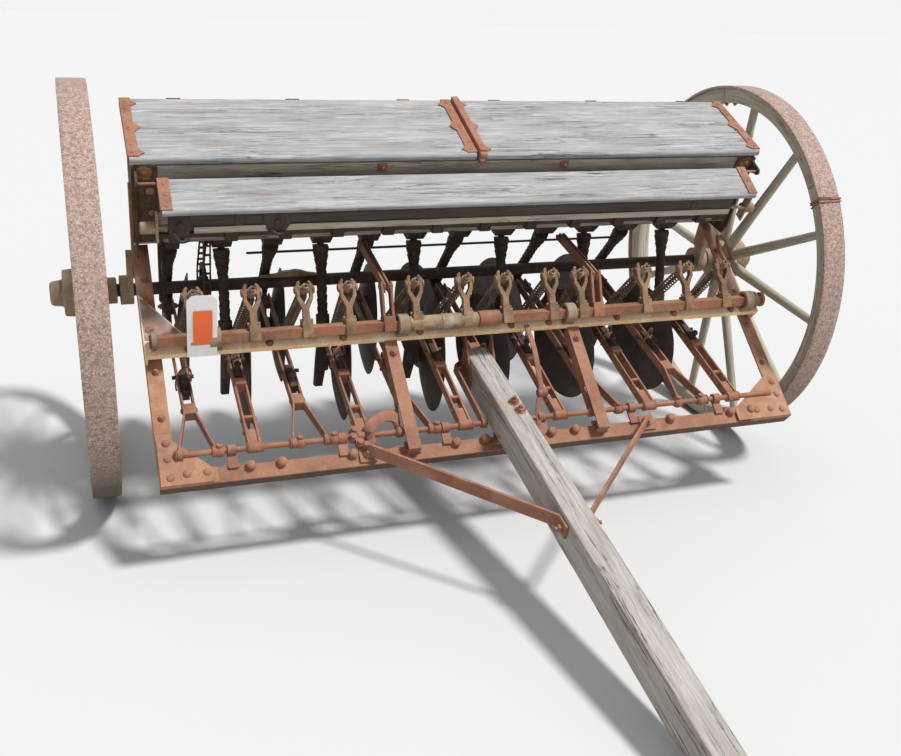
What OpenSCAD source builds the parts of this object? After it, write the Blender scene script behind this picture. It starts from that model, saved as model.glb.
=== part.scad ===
// Two-wheel grain drill with twelve disc openers, parked on its wheels and the tip of its pole.
// Row frame: X across, minus Y to the front, Z up, origin on the ground under the middle of the machine.
// The machine itself is drawn level about the middle of its axle, then nodded forward on to the pole.
// In that level frame u is the distance forward of the axle and v the height over it.

/* [Wheels] */
// Radius of a wheel over its steel tyre
wheel_r = 610; // [500:5:700]
// Distance between the middles of the two tyres
track = 2198; // [2150:2:2400]
// Width of the steel tyre
tyre_w = 79; // [62:1:90]
// Thickness of the steel tyre
tyre_t = 9; // [5:0.5:14]
// Depth of the wooden felloe
felloe_d = 49; // [35:1:70]
// Width of the wooden felloe
felloe_w = 58; // [46:1:60]
// Number of spokes
spoke_n = 12; // [10:1:16]
// Radius of a spoke at the hub
spoke_hub_r = 19; // [14:0.5:19.5]
// Radius of a spoke at the felloe
spoke_rim_r = 14; // [9:1:20]
// Radius of the two cast flanges that hold the spokes
hub_flange_r = 75; // [60:1:90]
// Radius of the hub barrel
hub_barrel_r = 39; // [32:1:48]
// Radius of the outer hub cap at its flange
hub_cap_r = 56; // [42:1:58]
// How far the hub reaches outwards from the middle of the tyre
hub_out = 108; // [90:1:130]
// How far the hub reaches inwards from the middle of the tyre
hub_in = 79; // [60:1:80]
// Radius of the axle
axle_r = 19; // [14:0.5:24]
// Gap all round a turning journal
journal_gap = 0.08; // [0.02:0.01:0.1]

/* [Frame] */
// Width over the two side rails
frame_w = 1946; // [1900:2:1990]
// Front edge of the frame ahead of the axle
front_reach = 725; // [690:5:800]
// Front edge of the frame below the axle
front_drop = 173; // [165:1:185]
// Rise of the frame from its front edge backwards, in degrees
bed_slope = 27.3; // [26:0.1:28.5]
// Thickness of the angle irons
iron_t = 6; // [4:0.5:7]
// Leg of the front angle iron
front_leg = 57; // [50:1:62]
// Leg of the side angle irons
rail_leg = 44; // [40:1:54]
// Thickness of the side rail's web and of the standard that rises from it
standard_t = 8; // [5:0.5:10]
// Width of the standard
standard_w = 50; // [40:1:60]
// Height of the cross iron
cross_leg = 50; // [46:1:54]
// Depth of the cross iron from its front lip to its rear web
cross_deep = 47; // [44:1:52]
// Height of the front lip of the cross iron
cross_lip = 20; // [10:1:24]
// Distance up the frame to the cross iron
cross_place = 363; // [357:1:368]
// Length of the corner plates along both irons
gusset_leg = 150; // [110:5:160]
// Leg of the two inner angle irons
beam_leg = 38; // [34:1:42]
// Places of the inner angle irons across the machine
beam_x = [-290, 297];

/* [Pole] */
// Width of the wooden pole
pole_w = 76; // [60:1:86]
// Depth of the wooden pole
pole_h = 100; // [80:1:110]
// Tip of the pole ahead of the axle
pole_reach = 1930; // [1700:10:2300]
// Rear end of the pole ahead of the axle
pole_rear = 385; // [378:1:395]
// Hitch pin hole radius
pin_r = 11; // [6:0.5:14]
// Hitch pin hole back from the tip
pin_back = 80; // [60:5:120]
// Width and thickness of the brace bars
brace_w = 38; // [30:1:44]
brace_t = 8; // [5:0.5:10]

/* [Grain box] */
// Thickness of the side boards
board_t = 20; // [14:1:24]
// Thickness of the lid boards
lid_t = 22; // [16:1:26]
// Front and back upper corners of the box under the lid
box_front = [180, 478];
box_back = [-98, 530];
// Front and back lower corners of the box
box_front_low = [138, 226];
box_back_low = [-48, 226];
// Thickness of the cast ends
end_t = 6; // [4:0.5:9]
// Half length of the two upper lids together
lid_half = 978; // [960:1:990]
// Gap between the two upper lids
lid_gap = 3; // [2:0.5:8]

/* [Front box] */
// Upper corner of the front box and its lower front and rear corners
seed_top = [306, 394.4];
seed_low = [300, 340];
seed_rear = [150.5, 294.5];
// Half length of the front box
seed_half = 841; // [800:1:860]
// Half length of the lid of the front box
seed_lid_half = 911; // [880:1:925]
// Hinge line at the rear edge of that lid, and its front edge
seed_hinge = [208, 436.5];
seed_lid_front = [318, 390.5];
// Thickness of the front box boards and of its lid
seed_board_t = 16; // [12:1:19]
seed_lid_t = 18; // [14:1:22]

/* [Openers] */
// Number of rows
row_n = 12; // [8:2:12]
// Distance between rows
row_pitch = 150; // [148:1:152]
// The rows stand this far to the left of the middle
row_shift = 45; // [30:1:45]
// Radius of the opener discs
disc_r = 190; // [160:1:200]
// Depth of the dish of a disc
disc_dish = 34; // [25:1:40]
// Thickness of a disc
disc_t = 4; // [3:0.5:6]
// Turn of a disc out of the line of travel, in degrees
disc_turn = 7; // [3:0.5:8]
// Radius of the pin that a disc turns on
disc_pin_r = 10; // [7:0.5:12]
// Radius of the hinge rod behind the front iron
rod_r = 8; // [6:0.5:9]
// Height of a drag bar
bar_h = 28; // [22:1:30]
// Thickness of a drag bar
bar_t = 6; // [4:0.5:7]
// Width over a pair of drag bars
pair_w = 36; // [32:1:40]

/* [Rock shaft] */
// Side of the square rock shaft
shaft_w = 28; // [24:0.5:30]
// Lean of the pressure arms backwards, in degrees
arm_lean = 34; // [30:1:38]
// Length of a pressure arm from the shaft to its trunnion
arm_len = 115; // [108:1:124]
// Each arm stands this far to the right of its row
arm_shift = [29, 38, 35, 9, 58, 63, 39, 42, -8, 63, 66, 54];
// Turns of a pressure spring, and the distance from one to the next
coil_n = 21; // [16:1:23]
coil_pitch = 8; // [7.5:0.1:8.4]
// Outer radius of a pressure spring
spring_r = 17; // [14:0.5:20]
// Wire of a pressure spring
spring_wire = 7; // [5:0.5:8]

/* [Feed drive] */
// Side of the square feed shaft
feed_w = 14; // [10:0.5:16]
// Width of a feed cup
cup_w = 56; // [44:1:64]
// Height of a feed cup under the floor, and its reach forwards and backwards
cup_deep = 62; // [54:1:70]
cup_fore = 40; // [34:1:44]
cup_aft = 34; // [28:1:38]
// Outer radius of a seed tube
tube_r = 15; // [12:0.5:16]
// Pitch radii of the two chain wheels
axle_wheel_r = 78; // [66:1:82]
feed_wheel_r = 31; // [26:1:32]

/* [Hidden] */
$fn = 48;
// Gap left between pieces that sit together
seat = 0.3;
eps = 0.5;

rust = "#8f5b4a";
dark_rust = "#4a3a34";
khaki = "#8d7c63";
grey_wood = "#9d9a94";
felloe_wood = "#7d7a6c";
tyre_steel = "#a38b84";

frame_half = frame_w / 2;
hub_x = track / 2;

// Height of the pole over the axle follows from the front iron that it rests on
function bed_u(s, n) = front_reach - s * cos(bed_slope) + n * sin(bed_slope);
function bed_v(s, n) = -front_drop + s * sin(bed_slope) + n * cos(bed_slope);
pole_under = bed_v(front_leg, 0) + seat;
pole_over = pole_under + pole_h;
// The machine nods forward until the lower edge of the pole's tip is on the ground
tip_far = sqrt(pow(pole_reach, 2) + pow(pole_under, 2));
park_tilt = asin(wheel_r / tip_far) - atan2(-pole_under, pole_reach);
front_y = -(pole_reach * cos(park_tilt) + pole_over * sin(park_tilt));
mid_y = (wheel_r + front_y) / 2;

module parked() {
  translate([0, -mid_y, wheel_r]) rotate([park_tilt, 0, 0]) children();
}
// A place in the level machine: x across, u forward of the axle, v over it
module at(x, u, v) {
  translate([x, -u, v]) children();
}
module on_bed() {
  translate([0, -front_reach, -front_drop]) rotate([bed_slope, 0, 0]) children();
}
// A side outline of [u, v] points, drawn from x0 over a width w
module side_plate(x0, w, pts) {
  translate([x0, 0, 0]) rotate([90, 0, 90]) linear_extrude(w) polygon([for (p = pts) [-p[0], p[1]]]);
}
module box_at(x0, x1, y0, y1, z0, z1) {
  translate([x0, y0, z0]) cube([x1 - x0, y1 - y0, z1 - z0]);
}
module rod_x(x0, x1, r) {
  translate([x0, 0, 0]) rotate([0, 90, 0]) cylinder(r = r, h = x1 - x0);
}
function row_x(i) = -row_shift + (i - (row_n - 1) / 2) * row_pitch;
// Rows alternate: even ones have the long drag bars of the rear rank
function is_long(i) = i % 2 == 0;
// Discs of the left half stand right of their boots, and the others left of them
function disc_side(i) = i < row_n / 2 ? 1 : -1;

// Frame

rail_len = 760;
standard_u = 20;
standard_foot = 62;
standard_top = 345;

module side_rails() {
  x0 = frame_half - rail_leg;
  for (m = [0, 1]) mirror([m, 0, 0]) color(rust) parked() {
    on_bed() {
      box_at(x0, frame_half, front_leg + seat, rail_len, -iron_t, 0);
      box_at(frame_half - iron_t, frame_half, front_leg + seat, rail_len - 2, -rail_leg, -iron_t / 2);
    }
    side_plate(frame_half - standard_t, standard_t - eps, [
      [standard_u - standard_w / 2, standard_foot], [standard_u + standard_w / 2, standard_foot],
      [standard_u + standard_w / 2, standard_top], [standard_u - standard_w / 2, standard_top]
    ]);
  }
}

module front_bar() {
  color(rust) parked() on_bed() {
    box_at(-frame_half, frame_half, 0, front_leg, -iron_t, 0);
    box_at(-frame_half, frame_half, 0, iron_t, -front_leg, 0);
    for (m = [0, 1]) mirror([m, 0, 0]) linear_extrude(iron_t) polygon([
      [frame_half, 0], [frame_half - gusset_leg, 0], [frame_half - gusset_leg, front_leg],
      [frame_half - rail_leg, front_leg + 6], [frame_half - rail_leg, gusset_leg], [frame_half, gusset_leg]
    ]);
  }
}

ear_len = 144;
ear_deep = 178;

// The cross iron has a flat top, a short lip in front, a web behind and a corner plate on each rail
module cross_bar() {
  cross_rear = cross_place + cross_deep;
  color(khaki) parked() on_bed() {
    box_at(-frame_half, frame_half, cross_place, cross_rear, cross_leg - iron_t, cross_leg);
    box_at(-frame_half, frame_half, cross_place, cross_place + iron_t, cross_leg - cross_lip, cross_leg);
    box_at(-frame_half, frame_half, cross_rear - iron_t, cross_rear, seat, cross_leg);
    for (m = [0, 1]) mirror([m, 0, 0]) {
      translate([0, 0, seat]) linear_extrude(iron_t) polygon([
        [frame_half, cross_rear - iron_t / 2], [frame_half - ear_len, cross_rear - iron_t / 2],
        [frame_half, cross_rear + ear_deep]
      ]);
      box_at(frame_half - iron_t, frame_half, cross_place, cross_rear, seat, cross_leg);
    }
  }
}

beam_foot_w = 44;
beam_front = 18;
web_start = 165;

module beams() {
  color(rust) parked() on_bed() for (x = beam_x) {
    x0 = x - beam_leg / 2;
    box_at(x0, x0 + beam_leg, beam_front, cross_place - seat, beam_leg - iron_t, beam_leg);
    box_at(x0, x0 + iron_t, web_start, cross_place - seat, 0, beam_leg);
    box_at(x0, x0 + beam_leg, beam_front, beam_front + iron_t, seat, beam_leg);
    box_at(x0, x0 + beam_foot_w, beam_front, front_leg - 1, seat, iron_t);
  }
}

// Axle and its two outside bearings

axle_box_r = 44;
axle_box_len = 38;

module axle() {
  end_x = hub_x + hub_out - 14;
  color(dark_rust) parked() translate([-end_x, 0, 0]) rotate([0, 90, 0]) cylinder(r = axle_r, h = 2 * end_x);
}

module axle_boxes() {
  x0 = frame_half + seat;
  for (m = [0, 1]) mirror([m, 0, 0]) color(khaki) parked() difference() {
    union() {
      rod_x(x0, x0 + axle_box_len, axle_box_r);
      side_plate(x0, 16, [
        [standard_u - standard_w / 2, 0], [standard_u + standard_w / 2, 0],
        [standard_u + standard_w / 2, standard_foot + 70], [standard_u - standard_w / 2, standard_foot + 70]
      ]);
    }
    rod_x(x0 - eps, x0 + axle_box_len + eps, axle_r + seat);
  }
}

// Pole with its rear irons and side braces

module pole() {
  color(grey_wood) parked() difference() {
    box_at(-pole_w / 2, pole_w / 2, -pole_reach, -pole_rear, pole_under, pole_over);
    at(0, pole_reach - pin_back, pole_under - eps) cylinder(r = pin_r, h = pole_h + 2 * eps);
  }
}

pole_iron_len = 92;

module pole_irons() {
  hang_v = bed_v(cross_place, seat) - seat;
  color(rust) parked() for (m = [0, 1]) mirror([m, 0, 0]) difference() {
    side_plate(pole_w / 2 + seat, iron_t, [
      [pole_rear + 5, pole_under + 8], [pole_rear + pole_iron_len, pole_under + 8],
      [pole_rear + pole_iron_len, pole_under + 48], [bed_u(cross_place + 5, 0), hang_v + 2],
      [bed_u(cross_place + 30, 0), hang_v + 20], [pole_rear + 5, hang_v + 14]
    ]);
    on_bed() box_at(0, pole_w, cross_place - seat, cross_place + cross_deep + seat, 0, cross_leg);
  }
}

// Each brace runs from the front iron to the side of the pole and rises on the way
brace_u = 1130;
brace_from_x = [-418, 458];
brace_rise = 58;
brace_hook = 46;
brace_foot_t = 7;

module brace(x_from) {
  x_far = abs(x_from);
  x_near = pole_w / 2 + seat + brace_t / 2;
  from_u = bed_u(front_leg / 2, 0);
  from_v = bed_v(front_leg / 2, 0) + brace_w / 2 + 4;
  run = norm([x_far - x_near, brace_u - from_u, brace_rise]);
  swing = atan2(x_far - x_near, brace_u - from_u);
  v0 = from_v + brace_rise - brace_w / 2;
  mirror([x_from < 0 ? 1 : 0, 0, 0]) {
    at(x_far, from_u, from_v) rotate([-asin(brace_rise / run), 0, -swing])
      box_at(-brace_t / 2, brace_t / 2, -run, 0, -brace_w / 2, brace_w / 2);
    box_at(x_near - brace_t / 2, x_near + brace_t / 2, -brace_u - brace_hook, -brace_u + 3, v0, v0 + brace_w);
    on_bed() box_at(x_far - 24, x_far + 24, 8, front_leg - 2, seat, brace_foot_t);
  }
}

module braces() {
  color(rust) parked() for (x = brace_from_x) brace(x);
}

// Grain box: cast ends, boards, floor and a middle wall

wall_x = frame_half - standard_t - seat;
end_low = 178;
// Front flange of a cast end, which laps the front board, and the ear that carries the front lid's pin
end_flange = 67;
end_flange_t = 5;
ear_r = 12;
lid_pin_r = 4;
// Middle of the front lid's pins, this far inside its rear edge and over its lower face
lid_pin_in = 9;
seed_slope = norm(seed_lid_front - seed_hinge);
seed_run = (seed_lid_front - seed_hinge) / seed_slope;
seed_up = [-seed_run[1], seed_run[0]];
lid_pin = seed_hinge + lid_pin_in * seed_run + lid_pin_in * seed_up;

// A place this far out from the front face of the front board, and this far down from its top
function on_front(o, d) = box_front + [o - d * (box_front - box_front_low)[0] / (box_front - box_front_low)[1], -d];

module box_ends() {
  outer = frame_half - 1;
  for (m = [0, 1]) mirror([m, 0, 0]) color(dark_rust) parked() difference() {
    union() {
      side_plate(wall_x - end_t, end_t, [
        box_back, [box_front[0] + 5, box_front[1] - 1], [box_front_low[0] + 14, end_low + 32],
        [box_front_low[0] - 2, end_low], [box_back_low[0] + 14, end_low],
        [box_back_low[0] - 10, end_low + 40], [box_back[0], box_back[1] - 180]
      ]);
      side_plate(outer - end_flange, end_flange, [
        on_front(seat, 6), on_front(seat + end_flange_t, 6), on_front(seat + end_flange_t, 246),
        on_front(seat, 246)
      ]);
      at(0, lid_pin[0], lid_pin[1]) rod_x(wall_x - end_t, wall_x, ear_r);
      side_plate(wall_x - end_t, end_t, [
        box_front + [1, -12], lid_pin + [3, ear_r - 0.5], lid_pin + [-4, -ear_r + 0.8], box_front + [-5, -56]
      ]);
    }
    at(0, lid_pin[0], lid_pin[1]) rod_x(wall_x - 2 * end_t, wall_x + end_t, lid_pin_r + journal_gap);
  }
}

board_x = wall_x - end_t - seat;

module box_front_board() {
  color(grey_wood) parked() side_plate(-board_x, 2 * board_x, [
    box_front, [box_front[0] - board_t, box_front[1] + 3.5], [box_front_low[0] - board_t, box_front_low[1]],
    box_front_low
  ]);
}

module box_back_board() {
  color(grey_wood) parked() side_plate(-board_x, 2 * board_x, [
    box_back, [box_back[0] + board_t, box_back[1] - 3.5], [box_back_low[0] + board_t, box_back_low[1]],
    box_back_low
  ]);
}

outlet_len = 40;
outlet_w = 26;
cup_u = 46;

module box_floor() {
  u0 = box_back_low[0] + board_t + 2;
  u1 = box_front_low[0] - board_t - 2;
  color(grey_wood) parked() difference() {
    box_at(-board_x, board_x, -u1, -u0, box_front_low[1], box_front_low[1] + board_t);
    for (i = [0:row_n - 1]) at(row_x(i), cup_u, box_front_low[1] + board_t / 2)
      cube([outlet_len, outlet_w, 2 * board_t], center = true);
  }
}

module box_divider() {
  v0 = box_front_low[1] + board_t + seat;
  color(grey_wood) parked() side_plate(-board_t / 2, board_t, [
    [box_front[0] - board_t - 4, box_front[1] - 2], [box_back[0] + board_t + 4, box_back[1] - 14],
    [box_back_low[0] + board_t + 4, v0], [box_front_low[0] - board_t - 3, v0]
  ]);
}

// Front box: a shallow trough against the grain box

module seed_box() {
  t = seed_board_t;
  rear_top = [box_front[0] - 6, seed_hinge[1] - 10];
  front_top = [seed_hinge[0] - 6, seed_hinge[1] - 8];
  module skin(x0, w) {
    side_plate(x0, w, [seed_low, [seed_low[0] - t, seed_low[1] + 2], [seed_top[0] - t, seed_top[1] + 7],
      seed_top]);
    side_plate(x0, w, [seed_low, seed_rear, [seed_rear[0] + 2, seed_rear[1] + t],
      [seed_low[0] - 2, seed_low[1] + t]]);
  }
  color(grey_wood) parked() {
    skin(-seed_half, 2 * seed_half);
    for (m = [0, 1]) mirror([m, 0, 0]) side_plate(seed_half - t, t, [
      seed_low, seed_rear, rear_top, front_top, seed_top - [4, 2]
    ]);
  }
}

seed_shaft = [236, 298];
// The front box's shaft runs this far past the outer rows
seed_over = [85, 60];
// Underside of the front box's floor at a distance u ahead of the axle
function seed_floor_v(u) =
  seed_low[1] - (seed_low[0] - u) * (seed_low[1] - seed_rear[1]) / (seed_low[0] - seed_rear[0]) - seat;

module seed_feed() {
  color(khaki) parked() {
    box_at(row_x(0) - seed_over[0], row_x(row_n - 1) + seed_over[1], -seed_shaft[0] - feed_w / 2,
      -seed_shaft[0] + feed_w / 2, seed_shaft[1] - feed_w / 2, seed_shaft[1] + feed_w / 2);
    for (i = [0:row_n - 1]) side_plate(row_x(i) - 17, 34, [
      [seed_shaft[0] + 24, seed_floor_v(seed_shaft[0] + 24)],
      [seed_shaft[0] - 24, seed_floor_v(seed_shaft[0] - 24)],
      [seed_shaft[0] - 14, seed_shaft[1] - 20], [seed_shaft[0] + 12, seed_shaft[1] - 20]
    ]);
  }
}

tube_head_v = box_front_low[1] - seat - cup_deep + 5;
// The feed shaft hangs low enough for its chain to pass under the floor
feed_v = box_front_low[1] - feed_wheel_r - 9;
function tube_du(i) = cup_u - disc_u(i) + funnel_back;
function tube_dv(i) = tube_head_v - disc_v(i) - funnel_v;
function tube_lean(i) = atan2(tube_du(i), tube_dv(i));

module feed_cups() {
  v1 = box_front_low[1] - seat;
  color(dark_rust) parked() for (i = [0:row_n - 1]) difference() {
    union() {
      side_plate(row_x(i) - cup_w / 2, cup_w, [
        [cup_u + cup_fore, v1], [cup_u - cup_aft, v1], [cup_u - cup_aft - 4, v1 - 0.4 * cup_deep],
        [cup_u - 0.47 * cup_aft, v1 - cup_deep], [cup_u + 0.45 * cup_fore, v1 - cup_deep],
        [cup_u + cup_fore + 4, v1 - 0.48 * cup_deep]
      ]);
      at(row_x(i), cup_u, tube_head_v) rotate([tube_lean(i), 0, 0]) translate([0, 0, -34])
        cylinder(r = tube_r - 4 - seat, h = 34);
    }
    at(row_x(i), cup_u, feed_v) cube([cup_w + 2, feed_w + 2 * seat, feed_w + 2 * seat], center = true);
  }
}

module feed_shaft() {
  color(dark_rust) parked() at(0, cup_u, feed_v)
    cube([2 * (wall_x - end_t - seat), feed_w, feed_w], center = true);
}

// Openers: hinge rods, drag bars, boots and discs

hinge = [bed_u(84, 11), bed_v(84, 11)];
// Drag bars: length to the boot pin and rise backwards in degrees, for the long and the short ones
bar_len = [686, 438];
bar_rise = [3.5, 6.5];
function bar_kind(i) = is_long(i) ? 0 : 1;
function bar_u(i, d) = hinge[0] - d * cos(bar_rise[bar_kind(i)]);
function bar_v(i, d) = hinge[1] + d * sin(bar_rise[bar_kind(i)]);
// Middle of a disc from the boot pin: backwards and down
disc_back = 50;
disc_down = 124;
function disc_u(i) = bar_u(i, bar_len[bar_kind(i)]) - disc_back;
function disc_v(i) = bar_v(i, bar_len[bar_kind(i)]) - disc_down;
eye_r = rod_r + 7;
bracket_w = 22;
bracket_off = 88;

module hinge_rods() {
  inner = pole_w / 2 + 14;
  outer = frame_half - rail_leg - 6;
  color(rust) parked() {
    at(0, hinge[0], hinge[1]) {
      rod_x(-outer, -inner, rod_r);
      rod_x(inner, outer, rod_r);
    }
    for (x = concat([row_x(0) - bracket_off], [for (i = [0:2:row_n - 2]) row_x(i) + bracket_off]))
      if (abs(x) < outer && abs(x) > inner + 50) {
        at(x - bracket_w / 2, hinge[0], hinge[1]) rod_x(0, bracket_w, eye_r);
        on_bed() box_at(x - bracket_w / 2 - 2, x + bracket_w / 2 + 2, 34, 80, seat, 8);
      }
  }
}

module drag_pair(d0, d1) {
  for (s = [-1, 1]) box_at(s * pair_w / 2 - (s > 0 ? bar_t : 0), s * pair_w / 2 + (s > 0 ? 0 : bar_t), d0, d1,
    -bar_h / 2, bar_h / 2);
}

module drag_bars_short() {
  color(rust) parked() for (i = [1:2:row_n - 1]) at(row_x(i), hinge[0], hinge[1])
    rotate([bar_rise[1], 0, 0]) difference() {
      union() {
        drag_pair(0, bar_len[1] + 20);
        rod_x(-pair_w / 2, pair_w / 2, eye_r);
        box_at(-pair_w / 2 + 1, pair_w / 2 - 1, 0, 62, -bar_h / 2 + 4, bar_h / 2 - 4);
        box_at(-pair_w / 2 + 1, pair_w / 2 - 1, block_short[0], block_short[0] + 10, -bar_h / 2 + 2,
          bar_h / 2 - 2);
        box_at(-pair_w / 2 + 1, pair_w / 2 - 1, block_short[1], block_short[1] + block_len, -bar_h / 2 + 2,
          bar_h / 2 + 6);
      }
      rod_x(-pair_w, pair_w, rod_r + seat);
    }
}

// Distance pieces between the two bars of a pair, and where they stand
block_len = 26;
block_short = [104, 236];
block_long = 470;

// Half spread of the two legs at the hinge rod, and where they meet behind it
leg_spread = 45;
leg_meet = 155;
// The row under the pole straddles it with a longer yoke
yoke_spread = pole_w / 2 + 26;
yoke_meet = 328;
yoke_bend = 262;

module leg(x0, x1, d0, d1) {
  linear_extrude(bar_h, center = true) polygon([
    [x0 - bar_t / 2, d0], [x0 + bar_t / 2, d0], [x1 + bar_t / 2, d1], [x1 - bar_t / 2, d1]
  ]);
}

module drag_bars_long() {
  color(rust) parked() for (i = [0:2:row_n - 2]) {
    under_pole = abs(row_x(i)) < pole_w;
    mid = under_pole ? -row_x(i) : 0;
    spread = under_pole ? yoke_spread : leg_spread;
    meet = under_pole ? yoke_meet : leg_meet;
    at(row_x(i), hinge[0], hinge[1]) rotate([bar_rise[0], 0, 0]) difference() {
      union() {
        for (s = [-1, 1]) {
          translate([mid + s * spread - 7, 0, 0]) rod_x(0, 14, eye_r);
          leg(mid + s * spread, mid + s * spread, 0, under_pole ? yoke_bend : 14);
          leg(mid + s * spread, s * (pair_w - bar_t) / 2, under_pole ? yoke_bend : 14, meet);
        }
        box_at(-pair_w / 2, pair_w / 2, meet - 6, meet + 36, -bar_h / 2, bar_h / 2);
        drag_pair(meet + 30, bar_len[0] + 20);
        box_at(-pair_w / 2 + 1, pair_w / 2 - 1, block_long, block_long + block_len, -bar_h / 2 + 2,
          bar_h / 2 + 6);
      }
      rod_x(-frame_half, frame_half, rod_r + seat);
    }
  }
}

boot_w = pair_w - 2 * bar_t - 2 * seat;
boss_r = 30;
funnel_back = 26;
funnel_v = 112;
funnel_h = 40;
// The tubes start this far up the funnels and stop this far below the cups
tube_seat = 10;
tube_short = 18;
pin_out = 36;

module boots() {
  color(dark_rust) parked() for (i = [0:row_n - 1]) at(row_x(i), disc_u(i), disc_v(i)) difference() {
    union() {
      side_plate(-boot_w / 2, boot_w, [
        [disc_back + 36, disc_down + 6], [disc_back + 30, disc_down - 14], [disc_back - 26, disc_down - 34],
        [26, 20], [-6, -34], [-30, -118], [-62, -132], [-58, -30], [-46, funnel_v], [-6, funnel_v],
        [4, disc_down + 6]
      ]);
      rod_x(-boot_w / 2, boot_w / 2, boss_r);
      translate([0, funnel_back, funnel_v]) rotate([tube_lean(i), 0, 0]) translate([0, 0, -12])
        cylinder(r = tube_r + 6, h = funnel_h + 12);
      rotate([0, 0, -disc_side(i) * disc_turn]) mirror([disc_side(i) < 0 ? 1 : 0, 0, 0])
        rod_x(0, boot_w / 2 + pin_out, disc_pin_r);
    }
    translate([0, funnel_back, funnel_v]) rotate([tube_lean(i), 0, 0]) translate([0, 0, tube_seat - 1])
      cylinder(r = tube_r + 0.6, h = funnel_h);
  }
}

disc_gap = 16;
cap_sphere_r = (pow(disc_r, 2) + pow(disc_dish, 2)) / (2 * disc_dish);

// The dish is a slice of a thin ball, with a turned hub on its pin
module disc(i) {
  color(dark_rust) parked() at(row_x(i), disc_u(i), disc_v(i)) rotate([0, 0, -disc_side(i) * disc_turn])
    mirror([disc_side(i) < 0 ? 1 : 0, 0, 0]) translate([boot_w / 2 + disc_gap, 0, 0]) difference() {
      union() {
        intersection() {
          translate([cap_sphere_r, 0, 0]) difference() {
            sphere(r = cap_sphere_r, $fn = 96);
            sphere(r = cap_sphere_r - disc_t, $fn = 96);
          }
          rod_x(-1, disc_dish + disc_t, disc_r);
        }
        rod_x(-7, 6, 27);
        rod_x(0, 26, 18);
      }
      rod_x(-10, 22, disc_pin_r + journal_gap);
    }
}

// Seed tubes from the cups to the boots, wound like ribbon

module seed_tubes() {
  steps = 9;
  color(dark_rust) parked() for (i = [0:row_n - 1]) {
    len = norm([tube_du(i), tube_dv(i)]) - tube_seat - tube_short;
    pitch = len / steps;
    at(row_x(i), disc_u(i) - funnel_back, disc_v(i) + funnel_v) rotate([tube_lean(i), 0, 0])
      translate([0, 0, tube_seat]) rotate_extrude() polygon(concat(
        [[tube_r - 4, len], [tube_r - 4, 0]],
        [for (k = [0:steps - 1]) each [[tube_r - 2.5, k * pitch], [tube_r, (k + 1) * pitch - 1]]],
        [[tube_r, len]]));
  }
}

// Rock shaft, its bearings, the twelve forked arms and their springs

// The shaft runs over the middle of the cross iron and its hubs just clear the flat top
shaft_n = cross_leg + 28;
shaft_s = cross_place + 28;
shaft_at = [bed_u(shaft_s, shaft_n), bed_v(shaft_s, shaft_n)];
shaft_ends = [-962, 978];
shaft_turn = 14;
sleeve_x = [[-140, -84], [-22, 44]];
sleeve_r = shaft_w / sqrt(2) + 3.5;

module rock_shaft() {
  color(rust) parked() at(0, shaft_at[0], shaft_at[1]) {
    rotate([-shaft_turn, 0, 0]) translate([shaft_ends[0], -shaft_w / 2, -shaft_w / 2])
      cube([shaft_ends[1] - shaft_ends[0], shaft_w, shaft_w]);
    for (x = sleeve_x) rod_x(x[0], x[1], sleeve_r);
    rod_x(shaft_ends[1] - 10, shaft_ends[1], sleeve_r);
  }
}

bearing_x = [-790, -256, 277, 921];
bearing_w = 30;
bearing_foot = 9;

module shaft_bearings() {
  bore = shaft_w / sqrt(2) + 0.6;
  color(khaki) parked() for (x = bearing_x) difference() {
    union() {
      at(x - bearing_w / 2, shaft_at[0], shaft_at[1]) rod_x(0, bearing_w, bore + 8);
      on_bed() box_at(x - bearing_w / 2 - 3, x + bearing_w / 2 + 3, cross_place + 2,
        cross_place + cross_deep - 2, cross_leg + seat, cross_leg + bearing_foot);
    }
    at(x - bearing_w, shaft_at[0], shaft_at[1]) rod_x(0, 2 * bearing_w, bore);
    on_bed() box_at(x - bearing_w, x + bearing_w, cross_place, shaft_s + 2 * bore, 0, cross_leg + seat);
  }
}

arm_w = 30;
hub_deep = 20;
tine_t = 9;
fork_half = 23;
fork_len = 54;
fork_over = 17;
trunnion_r = 9;
block_r = 12.5;
arm_plate = 18;

function arm_x(i) = row_x(i) + arm_shift[i];
trunnion = [shaft_at[0] - arm_len * sin(arm_lean), shaft_at[1] + arm_len * cos(arm_lean)];

module arm_outline() {
  fork = arm_len - fork_len;
  tip = arm_len + fork_over;
  inner = fork_half - tine_t;
  difference() {
    polygon([
      [-11, 0], [11, 0], [9, fork], [fork_half, arm_len - 24], [fork_half, tip], [-fork_half, tip],
      [-fork_half, arm_len - 24], [-9, fork]
    ]);
    polygon([[0, fork + 11], [inner, arm_len - 20], [inner, tip + 1], [-inner, tip + 1],
      [-inner, arm_len - 20]]);
  }
}

// Each pressure rod runs from the top of its drag bar up to the trunnion of its arm
foot_at = [430, 404];
function foot_u(i) = bar_u(i, foot_at[bar_kind(i)]) + (bar_h / 2 + 6) * sin(bar_rise[bar_kind(i)]);
function foot_v(i) = bar_v(i, foot_at[bar_kind(i)]) + bar_h / 2 + 6;
function rod_run(i) = [arm_shift[i], trunnion[0] - foot_u(i), trunnion[1] - foot_v(i)];
function rod_len(i) = norm(rod_run(i));
// Turns about X and then Y that bring a piece from upright to the line of the rod
function rod_turn(i) = [asin(rod_run(i)[1] / rod_len(i)), atan2(rod_run(i)[0], rod_run(i)[2]), 0];
rod_dia = 10;

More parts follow.
